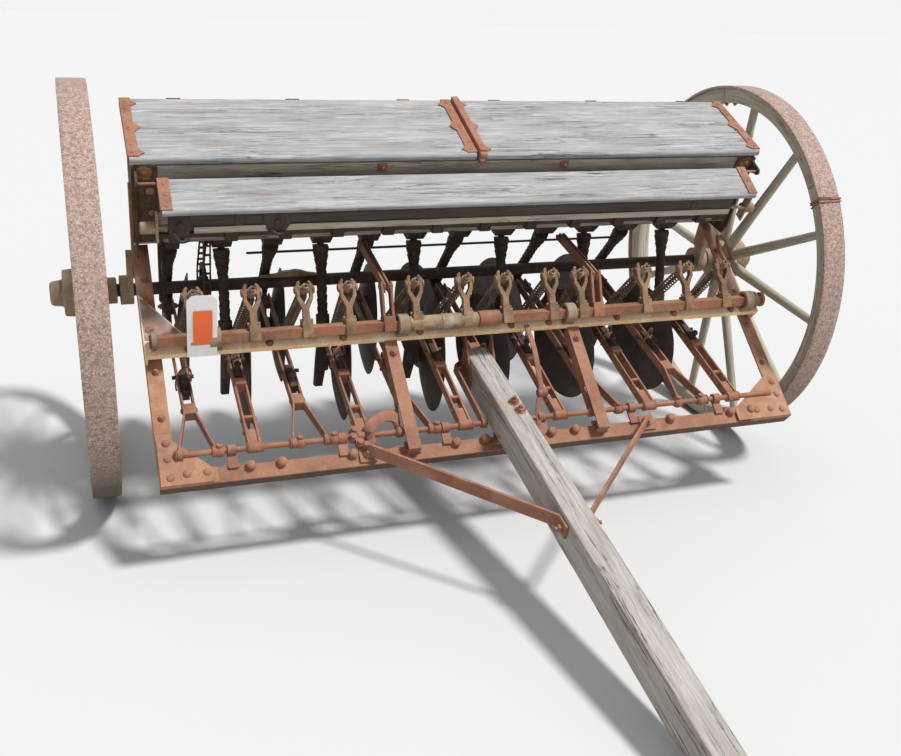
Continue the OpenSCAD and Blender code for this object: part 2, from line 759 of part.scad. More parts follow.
module pressure_arms() {
  color(khaki) parked() for (i = [0:row_n - 1]) difference() {
    union() {
      at(arm_x(i), shaft_at[0], shaft_at[1]) rotate([-arm_lean, 0, 0]) difference() {
        union() {
          box_at(-arm_w / 2, arm_w / 2, -hub_deep, hub_deep, -18, hub_deep + 6);
          rotate([90, 0, 0]) linear_extrude(arm_plate, center = true) arm_outline();
          translate([0, 0, arm_len]) rod_x(-fork_half - 3, fork_half + 3, trunnion_r);
        }
        rotate([arm_lean - shaft_turn, 0, 0]) cube([arm_w + 2, shaft_w + 2 * seat, shaft_w + 2 * seat],
          center = true);
      }
      at(arm_x(i), trunnion[0], trunnion[1]) rotate(rod_turn(i)) cylinder(r = block_r, h = 22, center = true);
    }
    at(arm_x(i), trunnion[0], trunnion[1]) rotate(rod_turn(i))
      cylinder(r = rod_dia / 2 + seat, h = 80, center = true);
  }
}

// Gap from the trunnion down to the spring, and the rod's end over the trunnion with its nut
spring_drop = 30;
rod_over = 27;
nut_t = 9;

module pressure_springs() {
  color(dark_rust) parked() for (i = [0:row_n - 1]) {
    len = rod_len(i);
    coil_h = coil_n * coil_pitch;
    base = len - spring_drop - coil_h;
    coil_r = spring_r - spring_wire / 2;
    at(row_x(i), foot_u(i), foot_v(i)) {
      rotate(rod_turn(i)) {
        cylinder(r = rod_dia / 2, h = len + rod_over);
        translate([0, 0, len + rod_over - nut_t - 5]) cylinder(r = 9, h = nut_t);
        translate([0, 0, base - 6]) cylinder(r = spring_r, h = 6.5);
        translate([0, 0, base + coil_h - 1]) cylinder(r = spring_r, h = 5);
        translate([0, 0, base]) rotate_extrude() polygon(concat(
          [[rod_dia / 2 - 1, coil_h], [rod_dia / 2 - 1, 0]],
          [for (k = [0:coil_n - 1]) each [
            [coil_r - 1, k * coil_pitch], [spring_r, (k + 0.3) * coil_pitch],
            [spring_r, (k + 0.7) * coil_pitch], [coil_r - 1, (k + 1) * coil_pitch]
          ]]));
      }
      rotate([bar_rise[bar_kind(i)], 0, 0]) box_at(-pair_w / 2, pair_w / 2, -12, 12, -5.7, 8);
    }
  }
}

// Lift links: a pair of arms on the rock shaft, and the pair of bars that pull them

lift_x = [-298, 372];
lift_w = 34;
lift_len = 112;
lift_plate = 7;
lift_half = 14;
lift_hang = [97, 168];

module lift_link(x_mid) {
  x0 = x_mid - lift_w / 2;
  top = [shaft_at[0] - lift_len * sin(arm_lean), shaft_at[1] + lift_len * cos(arm_lean)];
  far = norm(top - lift_hang);
  pull = atan2(top[1] - lift_hang[1], top[0] - lift_hang[0]);
  at(x0, shaft_at[0], shaft_at[1]) rotate([-arm_lean, 0, 0]) difference() {
    union() {
      for (x = [0, lift_w - lift_plate]) box_at(x, x + lift_plate, -lift_half, lift_half, 0, lift_len + 14);
      box_at(0, lift_w, -hub_deep, hub_deep, -18, hub_deep + 6);
    }
    rotate([arm_lean - shaft_turn, 0, 0]) translate([-1, -shaft_w / 2 - seat, -shaft_w / 2 - seat])
      cube([lift_w + 2, shaft_w + 2 * seat, shaft_w + 2 * seat]);
  }
  at(x0, top[0], top[1]) {
    rod_x(-4, lift_w + 4, 7);
    rotate([180 - pull, 0, 0]) for (x = [8, lift_w - 14]) box_at(x, x + 6, -far, 14, -lift_half, lift_half);
  }
  at(x0, lift_hang[0], lift_hang[1]) rod_x(2, lift_w - 2, 8);
}

module lift_links() {
  color(rust) parked() for (x = lift_x) lift_link(x);
}

// Chain drive from the axle to the feed shaft

chain_x = -765;
chain_t = 8;
chain_w = 24;
drive_top = [cup_u, feed_v];
drive_far = norm(drive_top);
drive_turn = atan2(drive_top[0], drive_top[1]);

tooth_deep = 11;
tooth_gap = 4.2;

module toothed(r, teeth, w) {
  difference() {
    union() {
      rod_x(-w / 2, w / 2, r - tooth_deep);
      for (k = [0:teeth - 1]) rotate([(k + 0.5) * 360 / teeth, 0, 0])
        box_at(-w / 2 + 1, w / 2 - 1, -4, 4, r - tooth_deep - 2, r - tooth_gap);
    }
    rod_x(-w, w, r - 22);
  }
  for (k = [0:2]) rotate([k * 120 + 37, 0, 0]) box_at(-w / 2 + 1.5, w / 2 - 1.5, -6, 6, 12, r - 18);
}

module chain_wheels() {
  color(dark_rust) parked() {
    at(chain_x, 0, 0) difference() {
      union() {
        toothed(axle_wheel_r, 14, 11);
        rod_x(-14, 14, axle_r + 10);
      }
      rod_x(-20, 20, axle_r + seat);
    }
    at(chain_x, drive_top[0], drive_top[1]) difference() {
      union() {
        rod_x(-5.5, 5.5, feed_wheel_r - tooth_deep);
        for (k = [0:6]) rotate([(k + 0.4) * 360 / 7, 0, 0])
          box_at(-4.5, 4.5, -4, 4, 12, feed_wheel_r - tooth_gap);
        rod_x(-10, 10, 16);
      }
      cube([40, feed_w + 2 * seat, feed_w + 2 * seat], center = true);
    }
  }
}

// The chain follows the two pitch circles and the two straight runs between them
wrap = asin((axle_wheel_r - feed_wheel_r) / drive_far);
run_len = drive_far * cos(wrap);
arc_low = axle_wheel_r * (180 + 2 * wrap) * PI / 180;
arc_top = feed_wheel_r * (180 - 2 * wrap) * PI / 180;
chain_len = arc_low + arc_top + 2 * run_len;
link_n = 2 * round(chain_len / 60);
// Place and turn of a point at length t along the chain, seen from the side: [back, up, turn]
function on_chain(t) =
  t < run_len ? let (a = wrap) [
    axle_wheel_r * cos(a) - t * sin(a), axle_wheel_r * sin(a) + t * cos(a), 90 + a]
  : t < run_len + arc_top ? let (a = wrap + (t - run_len) / feed_wheel_r * 180 / PI) [
    feed_wheel_r * cos(a), drive_far + feed_wheel_r * sin(a), 90 + a]
  : t < 2 * run_len + arc_top ? let (a = 180 - wrap, d = t - run_len - arc_top) [
    feed_wheel_r * cos(a) - d * sin(wrap), drive_far + feed_wheel_r * sin(a) - d * cos(wrap), 270 - wrap]
  : let (a = 180 - wrap + (t - 2 * run_len - arc_top) / axle_wheel_r * 180 / PI) [
    axle_wheel_r * cos(a), axle_wheel_r * sin(a), 90 + a];

module drive_chain() {
  pitch = chain_len / link_n;
  color(dark_rust) parked() translate([chain_x, 0, 0]) rotate([drive_turn, 0, 0]) for (k = [0:link_n - 1]) {
    c = on_chain((k + 0.5) * pitch);
    translate([0, c[0], c[1]]) rotate([c[2], 0, 0]) {
      slim = k % 2;
      for (s = [-1, 1]) translate([s * (chain_w - 5) / 2, 0, 0])
        cube([5 - 0.6 * slim, pitch + 4, chain_t - slim], center = true);
      translate([0, pitch / 2, 0]) cube([chain_w - 2, 5, chain_t - 2], center = true);
    }
  }
}

// Wheels: steel tyre, wooden felloe with spokes, and a cast hub

spoke_phase = 22;
flange_t = 20;
wood_ring_r = 74;
spoke_foot_r = 66;
hub_step = 47;

module wheel_frame(side) {
  translate([side * hub_x, -mid_y, wheel_r]) mirror([side < 0 ? 1 : 0, 0, 0]) children();
}

module wheel_tyre(side) {
  color(tyre_steel) wheel_frame(side) rotate([0, 90, 0]) rotate_extrude($fn = 96) polygon([
    [wheel_r - tyre_t, -tyre_w / 2], [wheel_r, -tyre_w / 2],
    [wheel_r, tyre_w / 2], [wheel_r - tyre_t, tyre_w / 2]
  ]);
}

module wheel_wood(side) {
  rim_out = wheel_r - tyre_t - seat;
  rim_in = rim_out - felloe_d;
  color(felloe_wood) wheel_frame(side) {
    rotate([0, 90, 0]) rotate_extrude($fn = 96) polygon([
      [rim_in, -felloe_w / 2 + 8], [rim_in + 10, -felloe_w / 2], [rim_out, -felloe_w / 2],
      [rim_out, felloe_w / 2], [rim_in + 10, felloe_w / 2], [rim_in, felloe_w / 2 - 8]
    ]);
    for (k = [0:spoke_n - 1]) rotate([90 - spoke_phase - k * 360 / spoke_n, 0, 0])
      translate([0, 0, spoke_foot_r])
        cylinder(r1 = spoke_hub_r, r2 = spoke_rim_r, h = rim_in - spoke_foot_r + 4);
    difference() {
      rod_x(-flange_t, flange_t, wood_ring_r);
      rod_x(-flange_t - 1, flange_t + 1, hub_barrel_r + seat);
    }
  }
}

module wheel_hub(side) {
  color(khaki) wheel_frame(side) difference() {
    union() {
      rod_x(-hub_in, hub_out - 40, hub_barrel_r);
      rod_x(-flange_t - 18, -flange_t - seat, hub_flange_r);
      rod_x(flange_t + seat, flange_t + 20, hub_flange_r);
      rod_x(flange_t + 19, flange_t + hub_step, hub_cap_r + 7);
      translate([flange_t + hub_step - 1, 0, 0]) rotate([0, 90, 0])
        cylinder(r1 = hub_cap_r, r2 = hub_cap_r - 4, h = hub_out - flange_t - hub_step + 1);
    }
    rod_x(-hub_in - 1, hub_out - 12, axle_r + journal_gap);
  }
}

// Lids

lid_seat = 0.5;
lid_over = 8;
box_run = (box_front - box_back) / norm(box_front - box_back);
box_up = [-box_run[1], box_run[0]];
lid_front = box_front + lid_over * box_run + lid_seat * box_up;
lid_back = box_back - lid_over * box_run + lid_seat * box_up;
lid_fall = atan2(lid_back[1] - lid_front[1], lid_front[0] - lid_back[0]);
lid_deep = norm(lid_front - lid_back);
// Each upper lid turns on three strap hinges behind its rear edge
strap_x = [150, 490, 830];
knuckle_r = 5.5;
knuckle_pin_r = 2.8;
knuckle_half = 8.7;
knuckle_out = 22;
leaf_half = 20;
leaf_low = 12;
// Middle of the hinge pins behind the lid's rear edge and over its lower face
strap_back = 9.5;
strap_rise = 5;
lid_turn = lid_back - strap_back * box_run + strap_rise * box_up;
cleat_w = 30;
cleat_t = 3;
tab_len = 15;
board_gap = 1;

// A frame on the back lower edge of the lid, with Y down its slope to the front
module on_lid() {
  at(0, lid_back[0], lid_back[1]) rotate([lid_fall, 0, 0]) mirror([0, 1, 0]) children();
}

module lid_boards(side) {
  x0 = lid_gap / 2 + cleat_t + seat;
  x1 = lid_half - cleat_t - seat;
  split = lid_deep * 0.46;
  mirror([side < 0 ? 1 : 0, 0, 0]) color(grey_wood) parked() on_lid() rotate([90, 0, 90])
    translate([0, 0, x0]) linear_extrude(x1 - x0) {
      square([split + eps, lid_t]);
      translate([split, 0]) square([lid_deep - split - lid_t / 2, lid_t]);
      translate([lid_deep - lid_t / 2, lid_t / 2]) circle(r = lid_t / 2);
    }
}

// Leaves on the back of the box with the outer knuckles and the pins of the six lid hinges
module lid_hinges() {
  down = (box_back_low - box_back) / norm(box_back_low - box_back);
  out = [down[1], -down[0]];
  function on_back(o, d) = box_back + o * out + d * down;
  color(rust) parked() for (m = [-1, 1]) for (x = strap_x) translate([m * x, 0, 0]) {
    side_plate(-knuckle_out, 2 * knuckle_out, [
      on_back(seat, 8), on_back(seat + 3, 8), on_back(seat + 3, 60), on_back(seat, 60)
    ]);
    at(0, lid_turn[0], lid_turn[1]) rod_x(-knuckle_out, knuckle_out, knuckle_pin_r);
    for (k = [-knuckle_out, knuckle_half + seat]) {
      w = knuckle_out - knuckle_half - seat;
      at(k, lid_turn[0], lid_turn[1]) rod_x(0, w, knuckle_r);
      side_plate(k, w, [
        on_back(seat, 10), on_back(seat + 3, 24), on_back(19.4, -9), on_back(11.1, -7)
      ]);
    }
  }
}

// The lid's half of a hinge: a bored knuckle and a leaf on the rear edge of the boards
module lid_strap() {
  difference() {
    union() {
      translate([0, -strap_back, strap_rise]) rod_x(-knuckle_half, knuckle_half, knuckle_r);
      box_at(-knuckle_half, knuckle_half, -strap_back, -seat - 1, strap_rise, strap_rise + knuckle_r - 0.2);
      box_at(-knuckle_half, knuckle_half, -seat - cleat_t, -seat, 0, lid_t);
      box_at(-leaf_half, leaf_half, -seat - cleat_t, -seat, leaf_low, lid_t);
    }
    translate([0, -strap_back, strap_rise]) rod_x(-2 * knuckle_out, 2 * knuckle_out,
      knuckle_pin_r + journal_gap);
  }
}

// End iron: a strip on top with three pointed tabs, folded down over the end of the boards
module lid_cleat(x_end, dir) {
  top = lid_t + seat;
  module strip() polygon([
    [0, 2], [0, lid_deep - lid_t / 2], [cleat_w, lid_deep - lid_t / 2], [cleat_w + 2, lid_deep - 18],
    [cleat_w + tab_len, lid_deep - 26], [cleat_w, lid_deep - 44], [cleat_w - 2, lid_deep * 0.58],
    [cleat_w + tab_len, lid_deep * 0.5], [cleat_w - 2, lid_deep * 0.42], [cleat_w - 2, 44],
    [cleat_w + tab_len, 30], [cleat_w, 14], [cleat_w, 2]
  ]);
  translate([x_end, 0, top]) linear_extrude(cleat_t) scale_x(dir) strip();
  box_at(min(x_end, x_end + dir * cleat_t), max(x_end, x_end + dir * cleat_t), 2, lid_deep - lid_t / 2, 0,
    top + cleat_t);
}
module scale_x(dir) {
  mirror([dir < 0 ? 1 : 0, 0, 0]) children();
}

module lid_irons(side) {
  color(rust) mirror([side < 0 ? 1 : 0, 0, 0]) parked() on_lid() {
    lid_cleat(lid_half, -1);
    lid_cleat(lid_gap / 2, 1);
    for (x = strap_x) translate([x, 0, 0]) lid_strap();
  }
}

seed_fall = atan2(seed_hinge[1] - seed_lid_front[1], seed_lid_front[0] - seed_hinge[0]);
seed_deep = norm(seed_lid_front - seed_hinge);

module on_seed_lid() {
  at(0, seed_hinge[0], seed_hinge[1]) rotate([seed_fall, 0, 0]) mirror([0, 1, 0]) children();
}

module lid_front_board() {
  x1 = seed_lid_half - cleat_t - seat;
  color(grey_wood) parked() on_seed_lid() rotate([90, 0, 90]) translate([0, 0, -x1]) linear_extrude(2 * x1) {
    square([seed_deep - seed_lid_t / 2, seed_lid_t]);
    translate([seed_deep - seed_lid_t / 2, seed_lid_t / 2]) circle(r = seed_lid_t / 2);
  }
}

module lid_front_irons() {
  top = seed_lid_t + seat;
  color(rust) parked() on_seed_lid() for (m = [0, 1]) mirror([m, 0, 0]) {
    box_at(seed_lid_half - 30, seed_lid_half, 0, seed_deep - seed_lid_t / 2, top, top + cleat_t);
    box_at(seed_lid_half - cleat_t, seed_lid_half, 0, seed_deep - seed_lid_t / 2, 0, top + cleat_t);
    translate([0, lid_pin_in, lid_pin_in]) rod_x(seed_lid_half - cleat_t / 2, wall_x - 1, lid_pin_r);
  }
}

side_rails();
front_bar();
cross_bar();
beams();
pole();
pole_irons();
braces();
axle();
axle_boxes();
box_ends();
box_front_board();
box_back_board();
box_floor();
box_divider();
lid_hinges();
seed_box();
seed_feed();
feed_cups();
feed_shaft();
seed_tubes();
chain_wheels();
drive_chain();
hinge_rods();
drag_bars_long();
drag_bars_short();
boots();
rock_shaft();
shaft_bearings();
pressure_arms();
pressure_springs();
lift_links();
wheel_tyre(-1);  // wheel_left_tyre
wheel_wood(-1);  // wheel_left_wood
wheel_hub(-1);  // wheel_left_hub
wheel_tyre(1);  // wheel_right_tyre
wheel_wood(1);  // wheel_right_wood
wheel_hub(1);  // wheel_right_hub
lid_boards(-1);  // lid_left_boards
lid_irons(-1);  // lid_left_irons
lid_boards(1);  // lid_right_boards
lid_irons(1);  // lid_right_irons
lid_front_board();
lid_front_irons();
disc(0);  // disc_01
disc(1);  // disc_02
disc(2);  // disc_03
disc(3);  // disc_04
disc(4);  // disc_05
disc(5);  // disc_06
disc(6);  // disc_07
disc(7);  // disc_08
disc(8);  // disc_09
disc(9);  // disc_10
disc(10);  // disc_11
disc(11);  // disc_12
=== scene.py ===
# Old grain drill, dressed around its solid parts. Places are worked out in mm on the level machine, and
# toGround turns them into metres in the part's own frame.
import bpy
import math
import numpy as np
from mathutils import Matrix, Vector


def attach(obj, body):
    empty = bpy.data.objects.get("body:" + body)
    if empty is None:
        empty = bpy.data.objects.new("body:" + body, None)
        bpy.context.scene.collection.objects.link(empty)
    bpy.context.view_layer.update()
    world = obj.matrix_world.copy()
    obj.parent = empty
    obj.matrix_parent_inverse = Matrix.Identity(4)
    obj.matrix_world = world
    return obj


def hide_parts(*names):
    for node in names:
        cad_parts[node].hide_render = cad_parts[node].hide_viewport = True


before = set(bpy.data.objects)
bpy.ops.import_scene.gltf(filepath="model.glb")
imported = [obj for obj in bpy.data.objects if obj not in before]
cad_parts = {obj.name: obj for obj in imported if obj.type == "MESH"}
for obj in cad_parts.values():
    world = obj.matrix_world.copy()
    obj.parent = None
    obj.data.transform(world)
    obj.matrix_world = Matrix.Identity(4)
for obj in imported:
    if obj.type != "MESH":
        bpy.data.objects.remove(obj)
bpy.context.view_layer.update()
rng = np.random.default_rng(7)

# sizes of the level machine in mm: u ahead of the axle, v above it, x across
drill = {
    "wheelR": 610.0, "track": 2198.0, "frontReach": 725.0, "frontDrop": 173.0, "bedSlope": 27.3,
    "frontLeg": 57.0, "frameHalf": 973.0, "poleReach": 1930.0, "poleHeight": 100.0, "poleWidth": 76.0,
    "crossPlace": 363.0, "crossDeep": 47.0, "crossLeg": 50.0, "rows": 12, "rowPitch": 150.0, "rowShift": 45.0,
}


def cosD(a):
    return math.cos(math.radians(a))


def sinD(a):
    return math.sin(math.radians(a))


def bed(x, s, n):
    # a point of the sloping frame: s up the slope from its front edge, n square to it
    u = drill["frontReach"] - s * cosD(drill["bedSlope"]) + n * sinD(drill["bedSlope"])
    v = -drill["frontDrop"] + s * sinD(drill["bedSlope"]) + n * cosD(drill["bedSlope"])
    return np.stack(np.broadcast_arrays(x, u, v), -1).astype(float)


poleUnder = bed(0, drill["frontLeg"], 0)[2] + 0.3
poleOver = poleUnder + drill["poleHeight"]
tipFar = math.hypot(drill["poleReach"], poleUnder)
parkTilt = math.asin(drill["wheelR"] / tipFar) - math.atan2(-poleUnder, drill["poleReach"])
frontY = -(drill["poleReach"] * math.cos(parkTilt) + poleOver * math.sin(parkTilt))
midY = (drill["wheelR"] + frontY) / 2


def toGround(points):
    # level machine (x, u, v) in mm to the parked pose in metres: nod by parkTilt about the axle
    p = np.asarray(points, float)
    c, s = math.cos(parkTilt), math.sin(parkTilt)
    y = -p[..., 1] * c - p[..., 2] * s - midY
    z = drill["wheelR"] - p[..., 1] * s + p[..., 2] * c
    return np.stack([p[..., 0], y, z], -1) / 1000


def rowX(i):
    return -drill["rowShift"] + (i - (drill["rows"] - 1) / 2) * drill["rowPitch"]


def waves(x, seed, count=6, low=0.6, high=6.0):
    # sum of sines of random pitch and phase, about -1 to 1, along x in metres
    r = np.random.default_rng(seed)
    f = r.uniform(low, high, count)
    ph = r.uniform(0, 6.28, count)
    a = 1 / np.sqrt(f)
    x = np.asarray(x, float)
    return (np.sin(x[..., None] * f * 6.28 + ph) * a).sum(-1) / a.sum()


# ---- meshes: rings of points joined into surfaces, many surfaces to one object

def newBatch():
    return {"v": [], "quads": [], "fans": [], "uv": [], "fanUv": [], "slotQ": [], "slotF": [], "n": 0}


def addGrid(batch, rows, caps=True, slot=0, uvAt=(0.0, 0.0), flip=False):
    # rows[i, j] is ring i, point j; u of the pattern runs along the rings, v round them, in metres
    rows = np.asarray(rows, float)
    n, m, _ = rows.shape
    cur = np.arange(n * m).reshape(n, m) + batch["n"]
    nxt = np.roll(cur, -1, 1)
    quads = np.stack([cur[:-1], nxt[:-1], nxt[1:], cur[1:]], -1).reshape(-1, 4)
    along = np.concatenate([[0], np.cumsum(np.linalg.norm(np.diff(rows.mean(1), axis=0), axis=1))])
    ring = rows[n // 2]
    step = np.linalg.norm(np.roll(ring, -1, 0) - ring, axis=1)
    girth = np.concatenate([[0], np.cumsum(step)])
    cols = np.arange(m)
    u = np.broadcast_to(along[:, None] + uvAt[0], (n, m + 1))
    v = np.broadcast_to(girth[None, :] + uvAt[1], (n, m + 1))
    corner = lambda a, b: np.stack([u[a][:, cols + b], v[a][:, cols + b]], -1)
    lo, hi = slice(0, n - 1), slice(1, n)
    uv = np.stack([corner(lo, 0), corner(lo, 1), corner(hi, 1), corner(hi, 0)], 2).reshape(-1, 4, 2)
    if flip:
        quads, uv = quads[:, ::-1], uv[:, ::-1]
    batch["v"].append(rows.reshape(-1, 3))
    batch["quads"].append(quads)
    batch["uv"].append(uv)
    batch["slotQ"].append(np.full(len(quads), slot))
    if caps:
        for k in (0, n - 1):
            turn = -1 if (k == 0) != bool(flip) else 1
            ids, pts = cur[k][::turn], rows[k][::turn]
            flat = pts - pts.mean(0)
            a = flat[0] / (np.linalg.norm(flat[0]) + 1e-9)
            nrm = np.cross(flat[0], flat[len(flat) // 3])
            b = np.cross(nrm / (np.linalg.norm(nrm) + 1e-12), a)
            batch["fans"].append(ids)
            batch["fanUv"].append(np.stack([flat @ a * 0.15 + uvAt[0], flat @ b + uvAt[1]], -1))
            batch["slotF"].append(slot)
    batch["n"] += n * m


def newObject(name, data):
    obj = bpy.data.objects.new(name, data)
    bpy.context.scene.collection.objects.link(obj)
    return obj


def soften(obj, width, segments, angle):
    # rounded edges where faces meet at more than angle degrees
    mod = obj.modifiers.new("soften", "BEVEL")
    mod.width, mod.segments, mod.limit_method = width, segments, "ANGLE"
    mod.angle_limit = math.radians(angle)
    return mod


def finishBatch(batch, name, body, mats, sharp=40, bevel=None, stands=None):
    # one object from the batch, riding body; stands names the solid parts that it is shown for
    v = np.concatenate(batch["v"])
    quads = np.concatenate(batch["quads"])
    uvs = np.concatenate(batch["uv"]).reshape(-1, 2)
    fans = batch["fans"]
    loops = np.concatenate([quads.reshape(-1), *fans]) if fans else quads.reshape(-1)
    totals = np.concatenate([np.full(len(quads), 4), [len(f) for f in fans]]).astype(np.int32)
    uv = np.concatenate([uvs, *batch["fanUv"]]) if fans else uvs
    slots = np.concatenate([np.concatenate(batch["slotQ"]), batch["slotF"]]).astype(np.int32)
    mesh = bpy.data.meshes.new(name)
    mesh.vertices.add(len(v))
    mesh.vertices.foreach_set("co", v.reshape(-1).astype(np.float32))
    mesh.loops.add(len(loops))
    mesh.loops.foreach_set("vertex_index", loops.astype(np.int32))
    mesh.polygons.add(len(totals))
    starts = np.concatenate([[0], np.cumsum(totals)[:-1]]).astype(np.int32)
    mesh.polygons.foreach_set("loop_start", starts)
    mesh.polygons.foreach_set("loop_total", totals)
    for m in (mats if isinstance(mats, (list, tuple)) else [mats]):
        mesh.materials.append(m)
    mesh.polygons.foreach_set("material_index", slots)
    mesh.update(calc_edges=True)
    layer = mesh.uv_layers.new(name="grain")
    layer.uv.foreach_set("vector", uv.reshape(-1).astype(np.float32))
    mesh.validate()
    mesh.polygons.foreach_set("use_smooth", np.ones(len(mesh.polygons), bool))
    mesh.set_sharp_from_angle(angle=math.radians(sharp))
    obj = newObject(name, mesh)
    if bevel:
        soften(obj, bevel, 2, 40).harden_normals = True
    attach(obj, body)
    if stands:
        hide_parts(*stands)


def circle(n, r=1.0, phase=0.0):
    a = np.linspace(0, 2 * np.pi, n, endpoint=False) + phase
    return np.stack([np.cos(a), np.sin(a)], -1) * r


def roundedBox(w, h, r, k=3):
    # outline of a w by h rectangle about its middle, corners rounded to r with k steps
    a = np.linspace(0, np.pi / 2, k + 1)
    out = []
    for q, (sx, sy) in enumerate(((1, 1), (-1, 1), (-1, -1), (1, -1))):
        b = a + q * np.pi / 2
        c = np.array([sx * (w / 2 - r), sy * (h / 2 - r)])
        out.append(c + np.stack([np.cos(b), np.sin(b)], -1) * r)
    return np.concatenate(out)


def sweep(path, ring, side):
    # carry ring (m, 2) or rings (n, m, 2) along path; its first axis lies as near as can be to side
    path = np.asarray(path, float)
    t = np.gradient(path, axis=0)
    t /= np.linalg.norm(t, axis=1)[:, None]
    side = np.broadcast_to(np.asarray(side, float), path.shape)
    a = side - (side * t).sum(1)[:, None] * t
    a /= np.linalg.norm(a, axis=1)[:, None]
    b = np.cross(t, a)
    ring = np.broadcast_to(ring, (len(path),) + np.shape(ring)[-2:])
    return path[:, None] + a[:, None] * ring[..., :1] + b[:, None] * ring[..., 1:]


def lathe(profile, n, sign=1):
    # turn profile rows (x, radius) about the x axis
    p, c = np.asarray(profile, float), circle(n)
    x = np.broadcast_to(p[:, :1] * sign, (len(p), n))
    return np.stack([x, p[:, 1:] * c[:, 0], p[:, 1:] * c[:, 1] * sign], -1)


def barBetween(batch, a, b, w, h, side=(1, 0, 0), slot=0):
    # a flat bar from a to b in mm, w by h in metres
    path = np.linspace(toGround(a), toGround(b), 2)
    addGrid(batch, sweep(path, roundedBox(w, h, 0.0008, 2), side), slot=slot)


def rodBetween(batch, a, b, r, n=12, slot=0):
    # a round or many-sided rod from a to b in mm, r in metres
    a, b = toGround(a), toGround(b)
    side = (0, 0, 1) if abs((b - a)[0]) > abs((b - a)[2]) else (1, 0, 0)
    addGrid(batch, sweep(np.linspace(a, b, 2), circle(n, r), side), slot=slot)


def turned(batch, profile, n, at, sign=1, slot=0):
    # a turned piece about an axis that lies across the machine at the place at, in mm
    addGrid(batch, toGround(lathe(profile, n, sign) + at), caps=False, slot=slot, flip=True)


def wire(batch, points, r, n, side, slot=0):
    addGrid(batch, sweep(toGround(points), circle(n, r), side), slot=slot)


def smoothPath(points, n=40):
    # Catmull-Rom curve through the points
    p = np.asarray(points, float)
    q = np.concatenate([[2 * p[0] - p[1]], p, [2 * p[-1] - p[-2]]])
    t = np.linspace(0, len(p) - 1 - 1e-6, n)
    i = t.astype(int)
    f = (t - i)[:, None]
    a, b, c, d = q[i], q[i + 1], q[i + 2], q[i + 3]
    return 0.5 * (2 * b + (c - a) * f + (2 * a - 5 * b + 4 * c - d) * f ** 2
                  + (3 * b - a - 3 * c + d) * f ** 3)


# bolts are collected by body and made into one object each
boltBatches = {}


def bolt(body, at, out, size, head="hex", washer=True, stem=0.0):
    # a nut or square head on a washer: at is its seat, out the way it faces
    b = boltBatches.setdefault(body, newBatch())
    at, out = np.asarray(at, float), np.asarray(out, float)
    out = out / np.linalg.norm(out)
    side = np.cross(out, (0.31, 0.2, 0.93))
    ph = rng.uniform(0, 1.5)
    at = at - out * 0.0003
    if washer:
        addGrid(b, sweep([at, at + out * 0.0022], circle(16, size * 1.25), side))
        at = at + out * 0.002
    n = {"hex": 6, "square": 4, "round": 14}[head]
    if head == "round":
        h = size * 0.5
        prof = [(0, 1.0), (h * 0.5, 0.9), (h * 0.85, 0.6), (h, 0.2)]
    else:
        h = size * 0.8
        prof = [(0, 1.0), (h * 0.72, 1.0), (h, 0.86)]
    path = np.array([at + out * a for a, _ in prof])
    rings = np.stack([circle(n, size * k * (1.12 if n == 4 else 1), ph) for _, k in prof])
    addGrid(b, sweep(path, rings, side))
    if stem:
        addGrid(b, sweep([at, at + out * (h + stem)], circle(10, size * 0.5), side))


def frameBolt(at, out, size, head="hex", **how):
    bolt("frame", toGround(at), out, size, head, **how)


def level(x, u, v):
    return np.array([x, u, v], float)


def facing(place, *way):
    # the way that one of a place function's own directions points
    return toGround(place(*way)) - toGround(place(0, 0, 0))


# ---- materials

def feed(tree, node, inputs):
    # by name or number: another node's output is linked, a value is set, and a colour gets its alpha
    for k, x in inputs.items():
        if isinstance(x, bpy.types.NodeSocket):
            tree.links.new(x, node.inputs[k])
        else:
            node.inputs[k].default_value = (*x, 1) if node.inputs[k].type == "RGBA" else x
    return node


def newNode(tree, kind, inputs, **marks):
    n = tree.nodes.new(kind)
    for k, x in marks.items():
        setattr(n, k, x)
    return feed(tree, n, inputs)


def group(name, inputs, outputs):
    # a socket's kind follows from its default: none for a vector, three numbers for a colour, or one number
    g = bpy.data.node_groups.new(name, "ShaderNodeTree")
    for n, value in inputs.items():
        kind = "Vector" if value is None else "Color" if isinstance(value, tuple) else "Float"
        s = g.interface.new_socket(name=n, in_out="INPUT", socket_type="NodeSocket" + kind)
        if value is not None:
            s.default_value = (*value, 1) if kind == "Color" else value
    for n in outputs:
        kind = "Color" if n == "Color" else "Float"
        g.interface.new_socket(name=n, in_out="OUTPUT", socket_type="NodeSocket" + kind)
    return g, g.nodes.new("NodeGroupInput").outputs, g.nodes.new("NodeGroupOutput")


def noise(tree, vector, scale, detail=5.0, rough=0.55, distortion=0.0):
    return newNode(tree, "ShaderNodeTexNoise", {
        "Vector": vector, "Scale": scale, "Detail": detail, "Roughness": rough,
        "Distortion": distortion}).outputs["Fac"]


def ramp(tree, fac, stops):
    # a mask: stops of (place, value)
    n = newNode(tree, "ShaderNodeValToRGB", {"Fac": fac})
    e = n.color_ramp.elements
    while len(e) < len(stops):
        e.new(0.5)
    for el, (p, c) in zip(e, stops):
        el.position, el.color = p, (c, c, c, 1)
    return n.outputs["Color"]


def calc(tree, op, a, b, clamp=False):
    return newNode(tree, "ShaderNodeMath", {0: a, 1: b}, operation=op, use_clamp=clamp).outputs[0]


def times(tree, a, b, clamp=False):
    return calc(tree, "MULTIPLY", a, b, clamp)


def mixColour(tree, fac, a, b):
    return newNode(tree, "ShaderNodeMix", {0: fac, 6: a, 7: b}, data_type="RGBA").outputs[2]


